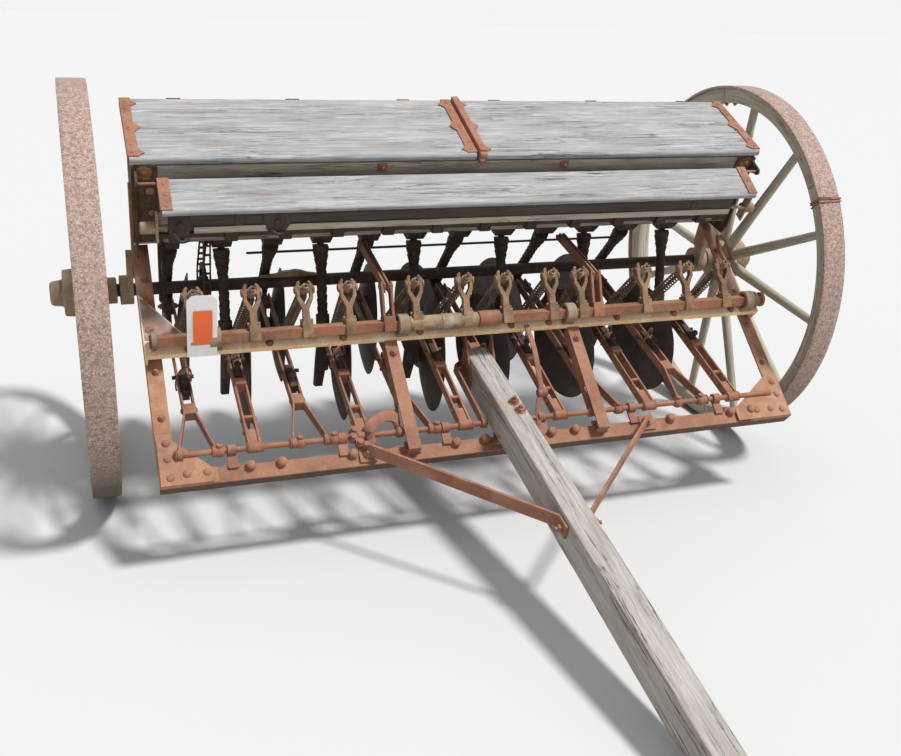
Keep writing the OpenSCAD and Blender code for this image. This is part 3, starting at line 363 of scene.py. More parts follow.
def makeGrainGroup():
    # weathered wood: pattern u runs with the grain, v across it, both in metres
    g, given, out = group("weatheredGrain", {
        "Vector": None, "Pale": (.5, .5, .48), "Mid": (.3, .29, .27), "Deep": (.05, .045, .04),
        "Stain": (.2, .13, .08), "Cracks": 1.0, "Stains": 0.4}, ("Color", "Roughness", "Height"))

    def grain(along, across, *look):
        scale = {"Vector": given["Vector"], "Scale": (along, across, 1)}
        return noise(g, newNode(g, "ShaderNodeMapping", scale).outputs["Vector"], 1.0, *look)
    fine = grain(24, 620, 5, 0.7)
    streak = grain(5, 130, 7, 0.66, 0.4)
    broad = grain(3.4, 15, 6, 0.66, 0.6)
    blotch = grain(5, 14, 6, 0.6)
    line = ramp(g, grain(3.2, 85, 4, 0.55, 0.8),
                [(0.0, 0), (0.478, 0), (0.497, 1), (0.503, 1), (0.522, 0), (1.0, 0)])
    gate = ramp(g, grain(2.6, 20, 2), [(0.44, 0), (0.6, 1)])
    crack = times(g, times(g, line, gate), given["Cracks"], True)
    body = mixColour(g, ramp(g, streak, [(0.3, 0), (0.68, 1)]), given["Mid"], given["Pale"])
    body = mixColour(g, ramp(g, fine, [(0.38, 0.75), (0.6, 0.0)]), body, given["Mid"])
    body = mixColour(g, ramp(g, broad, [(0.36, 0.45), (0.58, 0.0)]), body, given["Mid"])
    stainMask = times(g, ramp(g, blotch, [(0.5, 0), (0.72, 1)]), given["Stains"])
    body = mixColour(g, stainMask, body, given["Stain"])
    h = calc(g, "ADD", times(g, streak, 0.6), times(g, fine, 0.35))
    feed(g, out, {"Color": mixColour(g, crack, body, given["Deep"]),
                  "Roughness": calc(g, "ADD", times(g, fine, 0.2), 0.72),
                  "Height": calc(g, "SUBTRACT", h, times(g, crack, 1.4))})
    return g


def makeRustGroup():
    # rusted iron: broad patches, flaky spots and fine grit in three tones
    g, given, out = group("rustSkin", {
        "Vector": None, "Base": (.27, .13, .09), "Bright": (.42, .17, .07), "Deep": (.06, .035, .03),
        "Dust": (.4, .31, .25), "Scale": 1.0, "Brightness": 0.35, "Depth": 0.5, "Dusting": 0.3},
        ("Color", "Roughness", "Height"))
    vec = newNode(g, "ShaderNodeVectorMath", {0: given["Vector"], "Scale": given["Scale"]},
                  operation="SCALE").outputs[0]
    spot, grit = noise(g, vec, 38.0, 7, 0.65), noise(g, vec, 260.0, 4, 0.6)
    flake = noise(g, vec, 90.0, 6, 0.7, 0.8)
    col = given["Base"]
    for mask, low, high, much, tone in (
            (noise(g, vec, 7.0, 8, 0.62, 0.4), 0.42, 0.62, "Depth", "Deep"),
            (spot, 0.5, 0.66, "Brightness", "Bright"), (flake, 0.55, 0.7, "Depth", "Deep"),
            (noise(g, vec, 17.0, 6, 0.6), 0.5, 0.7, "Dusting", "Dust")):
        col = mixColour(g, times(g, ramp(g, mask, [(low, 0), (high, 1)]), given[much]), col, given[tone])
    h = calc(g, "ADD", times(g, spot, 0.6), times(g, grit, 0.25))
    feed(g, out, {"Color": mixColour(g, ramp(g, grit, [(0.3, 0.35), (0.55, 0.0)]), col, given["Deep"]),
                  "Roughness": calc(g, "ADD", times(g, spot, 0.35), 0.55),
                  "Height": calc(g, "SUBTRACT", h, times(g, flake, 0.35))})
    return g


def makeTopDustGroup():
    # pale dust and lichen on what faces up, broken up by noise
    g, given, out = group("topDust", {
        "Color": (.3, .2, .15), "Vector": None, "Dust": (.5, .42, .36), "Amount": 0.3}, ("Color",))
    normal = g.nodes.new("ShaderNodeNewGeometry").outputs["Normal"]
    up = ramp(g, newNode(g, "ShaderNodeSeparateXYZ", {0: normal}).outputs["Z"], [(0.45, 0), (0.9, 1)])
    brk = ramp(g, noise(g, given["Vector"], 24.0, 7, 0.65), [(0.36, 0), (0.62, 1)])
    fac = times(g, times(g, up, brk), given["Amount"], True)
    feed(g, out, {"Color": mixColour(g, fac, given["Color"], given["Dust"])})
    return g


grainGroup, rustGroup, dustGroup = makeGrainGroup(), makeRustGroup(), makeTopDustGroup()


def startMaterial(name, specular, metallic=0.0):
    m = bpy.data.materials.new(name)
    m.use_nodes = True
    t = m.node_tree
    return m, t, feed(t, t.nodes["Principled BSDF"], {"Metallic": metallic, "Specular IOR Level": specular})


def finishSkin(tree, principled, colour, pattern, strength, distance):
    bump = newNode(tree, "ShaderNodeBump", {"Strength": strength, "Distance": distance,
                                            "Height": pattern["Height"]})
    feed(tree, principled, {"Base Color": colour, "Roughness": pattern["Roughness"],
                            "Normal": bump.outputs["Normal"]})


def woodMaterial(name, pale, mid, deep, stain, cracks, stains, bump=0.6):
    m, t, p = startMaterial(name, 0.25)
    uv = newNode(t, "ShaderNodeUVMap", {}, uv_map="grain").outputs["UV"]
    n = newNode(t, "ShaderNodeGroup", {
        "Vector": uv, "Pale": pale, "Mid": mid, "Deep": deep, "Stain": stain, "Cracks": cracks,
        "Stains": stains}, node_tree=grainGroup).outputs
    finishSkin(t, p, n["Color"], n, bump, 0.0025)
    return m


def ironMaterial(name, base, bright, deep, dust, scale=1.0, brightness=0.35, depth=0.5, dusting=0.3,
                 top=0.25, metallic=0.0, lowDirtAndShade=None):
    m, t, p = startMaterial(name, 0.35, metallic)
    at = t.nodes.new("ShaderNodeTexCoord").outputs["Object"]
    n = newNode(t, "ShaderNodeGroup", {
        "Vector": at, "Base": base, "Bright": bright, "Deep": deep, "Dust": dust, "Scale": scale,
        "Brightness": brightness, "Depth": depth, "Dusting": dusting}, node_tree=rustGroup).outputs
    skin = newNode(t, "ShaderNodeGroup", {
        "Color": n["Color"], "Vector": at, "Dust": dust, "Amount": top}, node_tree=dustGroup).outputs["Color"]
    if lowDirtAndShade:
        # darkening on what stands lowest, its edge broken by noise: dirt, and painted shade near the ground
        height = newNode(t, "ShaderNodeSeparateXYZ", {0: at}).outputs["Z"]
        edge = calc(t, "ADD", height, times(t, noise(t, at, 14.0), 0.16))
        skin = mixColour(t, ramp(t, edge, [(0.22, 0.92), (0.46, 0.0)]), skin, lowDirtAndShade)
    finishSkin(t, p, skin, n, 0.5, 0.0012)
    return m


paint = {
    "lidWood": woodMaterial("silverBoards", (.58, .572, .57), (.235, .23, .225), (.05, .045, .042),
                            (.18, .145, .12), 0.75, 0.45),
    "boxWood": woodMaterial("brownGreyBoards", (.58, .51, .44), (.31, .26, .21), (.04, .032, .026),
                            (.13, .075, .045), 0.8, 0.6),
    # near-black boards: painted shade on the front box under the front lid
    "seedWood": woodMaterial("paintedShadeSeedBoards", (.115, .10, .08), (.05, .042, .033), (.012, .01, .008),
                             (.045, .026, .015), 0.8, 0.5),
    "poleWood": woodMaterial("splitPole", (.60, .57, .53), (.28, .255, .225), (.04, .033, .027),
                             (.27, .20, .15), 0.9, 0.5, 0.8),
    "wheelWood": woodMaterial("mossyHardwood", (.62, .57, .45), (.32, .29, .215), (.05, .042, .03),
                              (.24, .20, .125), 0.8, 0.5),
    "rust": ironMaterial("barRust", (.30, .125, .07), (.44, .19, .08), (.10, .045, .03), (.42, .27, .18)),
    "orange": ironMaterial("lidRust", (.30, .112, .062), (.42, .18, .09), (.11, .05, .035), (.40, .28, .21),
                           brightness=0.5, depth=0.4),
    "tan": ironMaterial("tanCasting", (.36, .25, .15), (.45, .30, .15), (.10, .06, .035), (.5, .42, .32),
                        scale=1.2, brightness=0.5, depth=0.6, dusting=0.6),
    "dark": ironMaterial("darkIron", (.062, .04, .03), (.18, .08, .04), (.018, .014, .012),
                         (.16, .12, .085), brightness=0.25, depth=0.6, top=0.3),
    "drab": ironMaterial("drabCasting", (.29, .20, .125), (.42, .23, .11), (.07, .05, .036), (.46, .37, .25),
                         brightness=0.35, depth=0.5, dusting=0.45),
    "arm": ironMaterial("armCasting", (.255, .15, .082), (.46, .22, .095), (.055, .036, .024), (.50, .38, .225),
                        scale=1.4, brightness=0.5, depth=0.6, dusting=0.4, top=0.35),
    # the cross iron's tan and orange with dark patches are its own colour; the tones are raised near white,
    # with a pale top, as painted sunlight on its top face
    "cross": ironMaterial("paintedSunlightIron", (.95, .68, .40), (.95, .48, .19), (.30, .18, .10), (.97, .86, .66),
                          scale=0.8, brightness=0.7, depth=0.4, dusting=0.8, top=0.4),
    "rail": ironMaterial("railRust", (.36, .16, .085), (.48, .24, .11), (.12, .055, .035), (.50, .36, .24),
                         dusting=0.4),
    "ending": ironMaterial("boxEndCasting", (.085, .042, .018), (.24, .105, .03), (.016, .013, .011),
                           (.13, .14, .15), brightness=0.6, depth=0.7, dusting=0.4),
    # the tyre's lowest part is darkened: dirt, and painted shade near the ground
    "tyre": ironMaterial("tyreScale", (.40, .27, .215), (.50, .30, .21), (.10, .065, .05), (.74, .64, .57),
                         scale=15.0, brightness=0.3, depth=0.7, dusting=0.75, top=0.0, lowDirtAndShade=(.075, .063, .040)),
    "coil": ironMaterial("coilRust", (.19, .135, .09), (.33, .20, .12), (.04, .03, .02), (.48, .41, .31),
                         scale=2.0, brightness=0.4, depth=0.5, dusting=0.4, top=0.6),
    # painted shade: a darker copy of the bar rust for the front iron's lower leg and the plate under the pole
    "shade": ironMaterial("paintedShadeRust", (.085, .048, .028), (.16, .075, .035), (.03, .02, .014), (.15, .10, .065),
                          top=0.0),
    "steel": ironMaterial("scouredSteel", (.085, .07, .062), (.22, .11, .06), (.025, .02, .018), (.2, .17, .14),
                          brightness=0.3, depth=0.5, metallic=0.3),
    "ochre": ironMaterial("ochrePaint", (.34, .17, .035), (.42, .24, .06), (.06, .035, .02), (.30, .20, .10),
                          scale=2.0, brightness=0.5, depth=0.8),
    "slate": ironMaterial("slatePaint", (.34, .19, .12), (.44, .22, .11), (.10, .07, .06), (.36, .39, .43),
                          scale=1.8, brightness=0.4, depth=0.4, dusting=1.0),
}
print("materials made:", len(paint))


# ---- solid parts that keep their mesh get edges softened and a finish

def makeSmoothNodes():
    # smooth faces, but edges steeper than 32 degrees stay sharp
    g = bpy.data.node_groups.new("smoothByAngle", "GeometryNodeTree")
    for way in ("INPUT", "OUTPUT"):
        g.interface.new_socket(name="Geometry", in_out=way, socket_type="NodeSocketGeometry")
    source, target = g.nodes.new("NodeGroupInput"), g.nodes.new("NodeGroupOutput")
    angle = g.nodes.new("GeometryNodeInputMeshEdgeAngle").outputs["Unsigned Angle"]
    steep = newNode(g, "FunctionNodeCompare", {"A": angle, "B": math.radians(32)},
                    data_type="FLOAT", operation="GREATER_THAN")
    face = newNode(g, "GeometryNodeSetShadeSmooth", {"Geometry": source.outputs[0]})
    edge = newNode(g, "GeometryNodeSetShadeSmooth", {
        "Geometry": face.outputs[0], "Selection": steep.outputs[0], "Shade Smooth": False}, domain="EDGE")
    feed(g, target, {0: edge.outputs[0]})
    return g


smoothNodes = makeSmoothNodes()
nodeFinish = {
    "rail": ["side_rails"],
    "rust": ["beams", "braces", "pole_irons", "hinge_rods", "drag_bars_long",
             "drag_bars_short", "rock_shaft", "lift_links", "lid_hinges"],
    "orange": ["lid_left_irons", "lid_right_irons", "lid_front_irons"],
    "cross": ["cross_bar"],
    "drab": ["shaft_bearings"],
    "tan": ["axle_boxes"],
    "arm": ["pressure_arms"],
    "ending": ["box_ends"],
    # seed_feed gets the dark iron as painted shade: the shaft lies in shadow below the front box
    "dark": ["axle", "feed_cups", "feed_shaft", "seed_feed", "chain_wheels", "drive_chain", "boots"],
    "boxWood": ["box_floor", "box_divider"],
}


def dressNodes():
    for finish, names in nodeFinish.items():
        for name in names:
            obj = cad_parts[name]
            for slot in obj.material_slots:
                slot.link = "OBJECT"
                slot.material = paint[finish]
            obj.modifiers.new("weld", "WELD").merge_threshold = 1e-5
            soften(obj, 0.0009, 1, 42)
            obj.modifiers.new("shade", "NODES").node_group = smoothNodes


dressNodes()
print("solid parts dressed")


# ---- boards

def plankSection(deep, thick, noseFront, across):
    # ring of (d, h): along the underside, round the front edge, back over the top, round the back edge
    noseBack = 3.0
    a = np.linspace(-np.pi / 2, np.pi / 2, 7)

    def edge(nose, d):
        return np.stack([d, np.where(a < 0, nose, thick - nose) + nose * np.sin(a)], -1)
    front = edge(noseFront, deep - noseFront + noseFront * np.cos(a))
    back = edge(noseBack, noseBack - noseBack * np.cos(a))
    under = np.stack([np.linspace(noseBack, deep - noseFront, 5)[1:-1], np.zeros(3)], -1)
    top = np.linspace(deep - noseFront, noseBack, across)[1:-1]
    return np.concatenate([under, front, np.stack([top, np.full(len(top), thick)], -1), back[::-1]])


def plank(batch, x0, x1, deep, thick, place, seed, cracks, nose=3.0, stations=150, across=44, flip=True):
    # a board from x0 to x1: its section is carried along x, lifted by slow waves, its long edges eaten,
    # and each crack cuts a narrow valley that opens and closes along the board
    r = np.random.default_rng(seed)
    sec = plankSection(deep, thick, nose, across)
    x = np.linspace(x0, x1, stations)
    d = np.broadcast_to(sec[:, 0], (stations, len(sec))).copy()
    h = np.broadcast_to(sec[:, 1], (stations, len(sec))).copy()
    xm = x[:, None] / 1000
    topness = h / thick
    margin, eaten, lift = 12, 0.9, 1.2
    edge = np.clip((d - deep + margin) / margin, 0, 1)
    d -= edge * (1 + waves(xm, seed + 1, 9, 1.0, 22)) * eaten
    rear = np.clip((margin - d) / margin, 0, 1)
    d += rear * (1 + waves(xm, seed + 2, 9, 1.0, 22)) * eaten
    h += waves(xm, seed + 3, 4, 0.3, 1.2) * lift * topness * np.sin(np.pi * np.clip(d / deep, 0, 1)) * 0.6
    h -= topness * 0.35 * (1 + waves(xm * 3 + d * 0.07, seed + 4, 8, 1, 9))
    for k in range(cracks):
        start, length = r.uniform(x0 - 60, x1 - 60), r.uniform(0.12, 0.55) * (x1 - x0)
        if r.uniform() < 0.5:
            start = x0 - 1 if r.uniform() < 0.5 else x1 - length
        window = np.sin(np.pi * np.clip((x[:, None] - start) / length, 0, 1)) ** 0.5
        if start < x0 or start + length > x1 - 2:
            window = np.clip(1 - np.abs(x[:, None] - (x0 if start < x0 else x1)) / length, 0, 1) ** 0.6
        at = r.uniform(0.08, 0.92) * deep + waves(xm, seed + 20 + k, 3, 0.4, 2.5) * 3
        width = r.uniform(0.9, 1.7)
        h -= window * r.uniform(1.2, 3.4) * np.exp(-((d - at) / width) ** 2) * (topness > 0.6)
    pts = place(np.broadcast_to(x[:, None], d.shape), d, h)
    addGrid(batch, toGround(pts), uvAt=(r.uniform(0, 40), r.uniform(0, 40)), flip=flip)


def slopePlace(back, front):
    # boards lying on a slope: d runs from back to front down it, h square to it
    fall = math.atan2(back[1] - front[1], front[0] - back[0])
    c, s = math.cos(fall), math.sin(fall)

    def place(x, d, h):
        return np.stack(np.broadcast_arrays(x, back[0] + d * c + h * s, back[1] - d * s + h * c), -1)
    return place


boxShape = {"front": (180.0, 478.0), "back": (-98.0, 530.0), "frontLow": (138.0, 226.0),
            "backLow": (-48.0, 226.0), "board": 20.0, "boardX": 958.4}
lidShape = {"half": 978.0, "gap": 3.0, "thick": 22.0, "over": 8.0, "seat": 0.5, "cleat": 3.3}
run = np.subtract(boxShape["front"], boxShape["back"])
run = run / math.hypot(*run)
lidSeat = lidShape["seat"] * np.array([-run[1], run[0]])
lidFront = np.array(boxShape["front"]) + lidShape["over"] * run + lidSeat
lidBack = np.array(boxShape["back"]) - lidShape["over"] * run + lidSeat
onLid = slopePlace(lidBack, lidFront)
lidDeep = float(np.linalg.norm(lidFront - lidBack))
seedShape = {"hinge": (208.0, 436.5), "front": (318.0, 390.5), "thick": 18.0, "half": 911.0, "boxHalf": 841.0,
             "top": (306.0, 394.4), "low": (300.0, 340.0), "rear": (150.5, 294.5), "board": 16.0}
onSeedLid = slopePlace(seedShape["hinge"], seedShape["front"])
seedDeep = math.dist(seedShape["hinge"], seedShape["front"])


def buildLids():
    for side, name in ((-1, "left"), (1, "right")):
        b = newBatch()
        inner, outer = lidShape["gap"] / 2 + lidShape["cleat"], lidShape["half"] - lidShape["cleat"]
        x0, x1 = (inner, outer) if side > 0 else (-outer, -inner)
        plank(b, x0, x1, lidDeep, lidShape["thick"], onLid, 100 + side, 15, nose=9, stations=170, across=84)
        finishBatch(b, "lid_%s_planks" % name, "lid_" + name, paint["lidWood"], sharp=60,
                    stands=["lid_%s_boards" % name])
    b = newBatch()
    half = seedShape["half"] - lidShape["cleat"]
    plank(b, -half, half, seedDeep, seedShape["thick"], onSeedLid, 170, 9, nose=7, stations=200)
    finishBatch(b, "lid_front_plank", "lid_front", paint["lidWood"], sharp=60,
                stands=["lid_front_board"])


def wallPlace(low, high, out):
    # upright boards: d runs from low to high, h outwards
    low, high = np.array(low, float), np.array(high, float)
    along = (high - low) / np.linalg.norm(high - low)
    normal = np.array([along[1], -along[0]]) * out

    def place(x, d, h):
        u = low[0] + d * along[0] + h * normal[0]
        v = low[1] + d * along[1] + h * normal[1]
        return np.stack(np.broadcast_arrays(x, u, v), -1)
    return place, float(np.linalg.norm(high - low))


def buildBoxBoards():
    half, thick, seam = boxShape["boardX"], boxShape["board"] - 0.4, 1.2
    for name, low, top, side, share, lost, seeds, cracks in (
            ("front", "frontLow", "front", 1, 0.42, 2.4, (210, 220), (7, 8)),
            ("back", "backLow", "back", -1, 0.5, 5, (230, 240), (8, 8))):
        b = newBatch()
        shift = np.array([-side * boxShape["board"], 0])
        place, deep = wallPlace(np.array(boxShape[low]) + shift, np.array(boxShape[top]) + shift, side)
        cut = deep * share
        upper = lambda x, d, h: place(x, d + cut + seam, h)
        plank(b, -half, half, cut, thick, place, seeds[0], cracks[0], flip=side < 0)
        plank(b, -half, half, deep - cut - lost, thick, upper, seeds[1], cracks[1], flip=side < 0)
        finishBatch(b, name + "_planks", "frame", paint["boxWood"], sharp=60,
                    stands=["box_%s_board" % name])
    # front box: front board, floor and two ends, in near-black wood as painted shade
    b = newBatch()
    sh, half, thick = seedShape, seedShape["boxHalf"], seedShape["board"] - 0.2
    place, deep = wallPlace(np.array(sh["low"]) - (sh["board"], 0), np.array(sh["top"]) - (sh["board"], 0), 1)
    plank(b, -half, half, deep, thick, place, 250, 4, across=24, flip=False)
    place, deep = wallPlace(np.array(sh["rear"]) + (0, 16), np.array(sh["low"]) + (-16, 13), 1)
    plank(b, -half + 1, half - 1, deep, thick, place, 260, 5, across=30, flip=False)
    outline = np.array([(291.5, 391.0), (202.0, 428.5), (174.0, 426.5), (151.0, 311.0), (286.0, 346.0)])
    for side in (-1, 1):
        x0, x1 = sorted((side * half, side * (half - sh["board"])))
        ends = [np.column_stack([np.full(5, x), outline]) for x in (x0, x1)]
        addGrid(b, toGround(np.array(ends)), uvAt=(12.0 + side, 3.0), flip=True)
    lip = newBatch()
    place, deep = wallPlace((300.4, 334.0), (302.6, 355.0), 1)
    plank(lip, -half + 14, half - 8, deep, 5.0, place, 270, 1, stations=120, across=14, flip=False)
    finishBatch(lip, "front_box_lip", "frame", paint["wheelWood"], sharp=60)
    finishBatch(b, "front_box_planks", "frame", paint["seedWood"], bevel=0.001,
                stands=["seed_box"])


buildLids()
buildBoxBoards()
print("boards built")


# ---- pole

def buildPole():
    # squared timber with rubbed corners; long checks are narrow valleys that run with it
    start, end, checks, stations, k = 385.0, drill["poleReach"], 16, 220, 26
    u = np.linspace(start, end, stations)
    w, h, r = drill["poleWidth"] / 2, drill["poleHeight"] / 2, 5.0
    arc = np.linspace(0, np.pi / 2, 4)
    sides = []
    for q in range(4):
        a, b = (w, h) if q % 2 == 0 else (h, w)
        line = np.stack([np.full(k, a), np.linspace(-b + r, b - r, k)], -1)
        corner = np.stack([a - r + r * np.cos(arc[1:-1]), b - r + r * np.sin(arc[1:-1])], -1)
        part = np.concatenate([line, corner])
        c, s = math.cos(q * math.pi / 2), math.sin(q * math.pi / 2)
        sides.append(part @ np.array([[c, s], [-s, c]]))
    ring = np.concatenate(sides)
    girth = np.concatenate([[0], np.cumsum(np.linalg.norm(np.diff(ring, axis=0), axis=1))])
    norm = ring / np.linalg.norm(ring, axis=1)[:, None]
    flatN = np.where(np.abs(ring[:, :1]) > w - 0.5, [[1.0, 0.0]], [[0.0, 1.0]]) * np.sign(ring)
    um = u[:, None] / 1000
    slow, broad = waves(um * 2 + girth[None] * 0.05, 31, 8, 0.5, 7), waves(um, 33, 5, .5, 3)
    inward = 0.5 + 0.45 * slow + 0.7 * (broad + 1) * 0.5
    r5 = np.random.default_rng(12)
    for _ in range(checks):
        at, begin, length = r5.uniform(0, girth[-1]), r5.uniform(start - 100, end - 200), r5.uniform(250, 900)
        window = np.sin(np.pi * np.clip((u[:, None] - begin) / length, 0, 1)) ** 0.6
        if r5.uniform() < 0.4:
            window = np.clip(1 - (end - u[:, None]) / length, 0, 1) ** 0.7
        path = at + waves(um, int(at * 10), 3, 0.4, 2.5) * 4
        deep, wide = r5.uniform(1.5, 5.0), r5.uniform(1.2, 2.2)
        inward = inward + window * deep * np.exp(-((girth[None] - path) / wide) ** 2)
    pts = ring[None] - (norm * 0.3 + flatN * 0.7)[None] * inward[..., None]
    mid = (poleUnder + poleOver) / 2
    beam = np.stack([pts[..., 0], np.broadcast_to(u[:, None], inward.shape), mid + pts[..., 1]], -1)
    b = newBatch()
    addGrid(b, toGround(beam), uvAt=(3.0, 5.0))
    finishBatch(b, "pole_timber", "frame", paint["poleWood"], sharp=60, stands=["pole"])


buildPole()


# ---- wheels

wheelShape = {"tyreThick": 9.0, "tyreWide": 79.0, "felloeDeep": 49.0, "felloeWide": 58.0, "spokes": 12,
              "phase": 22.0, "segments": 6}


def wheelPoints(side, x, radius, angle):
    # polar to world: x outwards from the middle of the tyre, angle from the front upwards
    return np.stack([side * (drill["track"] / 2 + x) * np.ones_like(angle * radius),
                     -radius * np.cos(angle) - midY, drill["wheelR"] + radius * np.sin(angle)], -1) / 1000


def onHub(side, rows):
    # x outwards from the middle of the tyre, y and z from the wheel's own axle
    x = side * (drill["track"] / 2 + rows[..., 0])
    return np.stack([x, rows[..., 1] - midY, drill["wheelR"] + rows[..., 2]], -1) / 1000


def buildWheel(side, name):
    ws = wheelShape
    body = "wheel_" + name
    outer = drill["wheelR"]
    # tyre: a flat hoop with a slight crown, rubbed edges and shallow dents
    seam = lambda k: math.radians(ws["phase"] + 15) + k * 2 * math.pi / ws["segments"]
    a = np.linspace(0, 2 * np.pi, 181)[:-1][:, None]
    half, t = ws["tyreWide"] / 2, ws["tyreThick"]
    prof = np.array([(-half, -t), (-half + 1, -t), (0, -t), (half - 1, -t), (half, -t + 1), (half, -1.5),
                     (half - 1.6, -0.3), (half * 0.6, 0), (0, 0), (-half * 0.6, 0), (-half + 1.6, -0.3),
                     (-half, -1.5), (-half, -t + 1)], float)
    dent = waves(a / 6.2832 * 3, 5 + side, 9, 1, 9) * 0.5 - 0.5
    rad = outer + prof[None, :, 1] + np.where(prof[None, :, 1] > -2, dent, 0)
    rows = wheelPoints(side, prof[None, :, 0] + 0 * a, rad, a + 0 * rad)
    rows = np.concatenate([rows, rows[:1]])
    b = newBatch()
    addGrid(b, rows, caps=False, flip=side > 0)
    finishBatch(b, "tyre_hoop_" + name, body, paint["tyre"], stands=["wheel_%s_tyre" % name])
    # felloe: bent segments with a joint between each pair, grain running round
    b = newBatch()
    rimOut = outer - t - 0.3
    rimIn = rimOut - ws["felloeDeep"]
    fh = ws["felloeWide"] / 2
    sec = np.array([(-fh, rimOut), (-fh, rimIn + 10), (-fh + 3, rimIn + 4), (-fh + 9, rimIn), (fh - 9, rimIn),
                    (fh - 3, rimIn + 4), (fh, rimIn + 10), (fh, rimOut)], float)
    sec = np.concatenate([np.linspace(p, q, 5)[:-1] for p, q in zip(sec, np.roll(sec, -1, 0))])
    gap = 0.0025
    for k in range(ws["segments"]):
        a = np.linspace(seam(k) + gap, seam(k) + 2 * math.pi / ws["segments"] - gap, 26)[:, None]
        wob = waves(a * 0.4 + k, 60 + k, 6, 0.5, 6) * 0.6
        rad = sec[None, :, 1] + 0 * a - np.where(sec[None, :, 1] < rimOut - 1, wob, 0) * 0.6
        rows = wheelPoints(side, sec[None, :, 0] + wob * 0.4, rad, a + 0 * rad)
        addGrid(b, rows, uvAt=(k * 3.1, side * 2.0 + 5), flip=side > 0)
    # spokes: round, swelling at the hub
    r0 = np.array([60, 76, 92, 130, 200, 290, 380, 460, 520, rimIn + 3])
    thick = np.array([18.9, 19.0, 19.0, 18.6, 17.6, 16.6, 15.6, 14.8, 14.2, 14.0])
    flat = np.array([.98, .98, .96, .93, .9, .9, .9, .92, .96, 1.0])
    for k in range(ws["spokes"]):
        ang = math.radians(ws["phase"] + k * 360 / ws["spokes"])
        wobble = 1 + 0.02 * waves(r0[:, None] / 200 + k, 80 + k, 4)[..., None]
        off = circle(20)[None] * thick[:, None, None] * wobble
        xs, tang = off[..., 0] * flat[:, None], off[..., 1]
        y = -(r0[:, None] * math.cos(ang) - tang * math.sin(ang))
        z = r0[:, None] * math.sin(ang) + tang * math.cos(ang)
        addGrid(b, onHub(side, np.stack([xs, y, z], -1)), uvAt=(k * 1.7 + 20, k * 0.9), flip=side < 0)
    # wooden ring between the flanges
    prof = [(-19.8, 40), (-19.8, 73.5), (-18, 74), (18, 74), (19.8, 73.5), (19.8, 40)]
    addGrid(b, onHub(side, lathe(prof, 48)), caps=False, flip=side < 0)
    finishBatch(b, "wheel_timber_" + name, body, paint["wheelWood"], sharp=50,
                stands=["wheel_%s_wood" % name])
    # hub casting
    b = newBatch()
    hub = [(-79, 20), (-79, 36), (-77, 39), (-48, 39.5), (-42, 43), (-39, 52), (-38.3, 72), (-36.5, 75),
           (-22, 75), (-20.3, 73.5), (-20.3, 40.2), (20.3, 40.2), (20.3, 73.5), (22, 75), (37, 75),
           (40, 72.5), (42, 70.5), (62, 69), (68.5, 67.5), (71, 64), (71.6, 43), (74, 40), (80, 38.5),
           (97, 36.5), (103.5, 34), (107, 30), (108, 25), (106.5, 21), (106, 12), (106, 0.05)]
    addGrid(b, onHub(side, lathe(hub, 56)), caps=False, flip=side < 0)
    finishBatch(b, "hub_casting_" + name, body, paint["drab"], sharp=32,
                stands=["wheel_%s_hub" % name])
    for k in range(6):
        ang = math.radians(ws["phase"] + 15 + k * 60)
        for x, out in ((39.5, 1), (-38.6, -1)):
            at = wheelPoints(side, x, 61.0, np.array(ang))
            bolt(body, at, (side * out, 0, 0), 0.0085, "square", washer=False, stem=0.005)
    for k in range(ws["segments"]):
        for da in (-0.045, 0.045):
            ang = np.array(seam(k) + da)
            at = wheelPoints(side, 0.0, rimIn - 0.4, ang)
            out = wheelPoints(side, 0.0, rimIn - 60.0, ang) - at
            bolt(body, at, out, 0.0065, "square", stem=0.004)


buildWheel(-1, "left")
buildWheel(1, "right")
print("wheels built")


# ---- openers

hinge = bed(0, 84, 11)[1:]
openers = {"len": (686.0, 438.0), "rise": (3.5, 6.5), "back": 50.0, "down": 124.0, "turn": 7.0,
           "funnelBack": 26.0, "funnelV": 112.0, "tubeR": 15.0, "cupU": 46.0, "headV": 226 - 0.3 - 57,
           "discR": 190.0, "dish": 34.0, "foot": (430.0, 404.0),
           "shift": (29, 38, 35, 9, 58, 63, 39, 42, -8, 63, 66, 54)}


def kindOf(i):
    return 0 if i % 2 == 0 else 1


def barAt(i, d, up=0.0, x=0.0):
    # d behind the hinge along the drag bar of row i, up square to it
    r = openers["rise"][kindOf(i)]
    return np.array([rowX(i) + x, hinge[0] - d * cosD(r) + up * sinD(r),
                     hinge[1] + d * sinD(r) + up * cosD(r)])


def discAt(i):
    p = barAt(i, openers["len"][kindOf(i)])
    return np.array([p[0], p[1] - openers["back"], p[2] - openers["down"]])


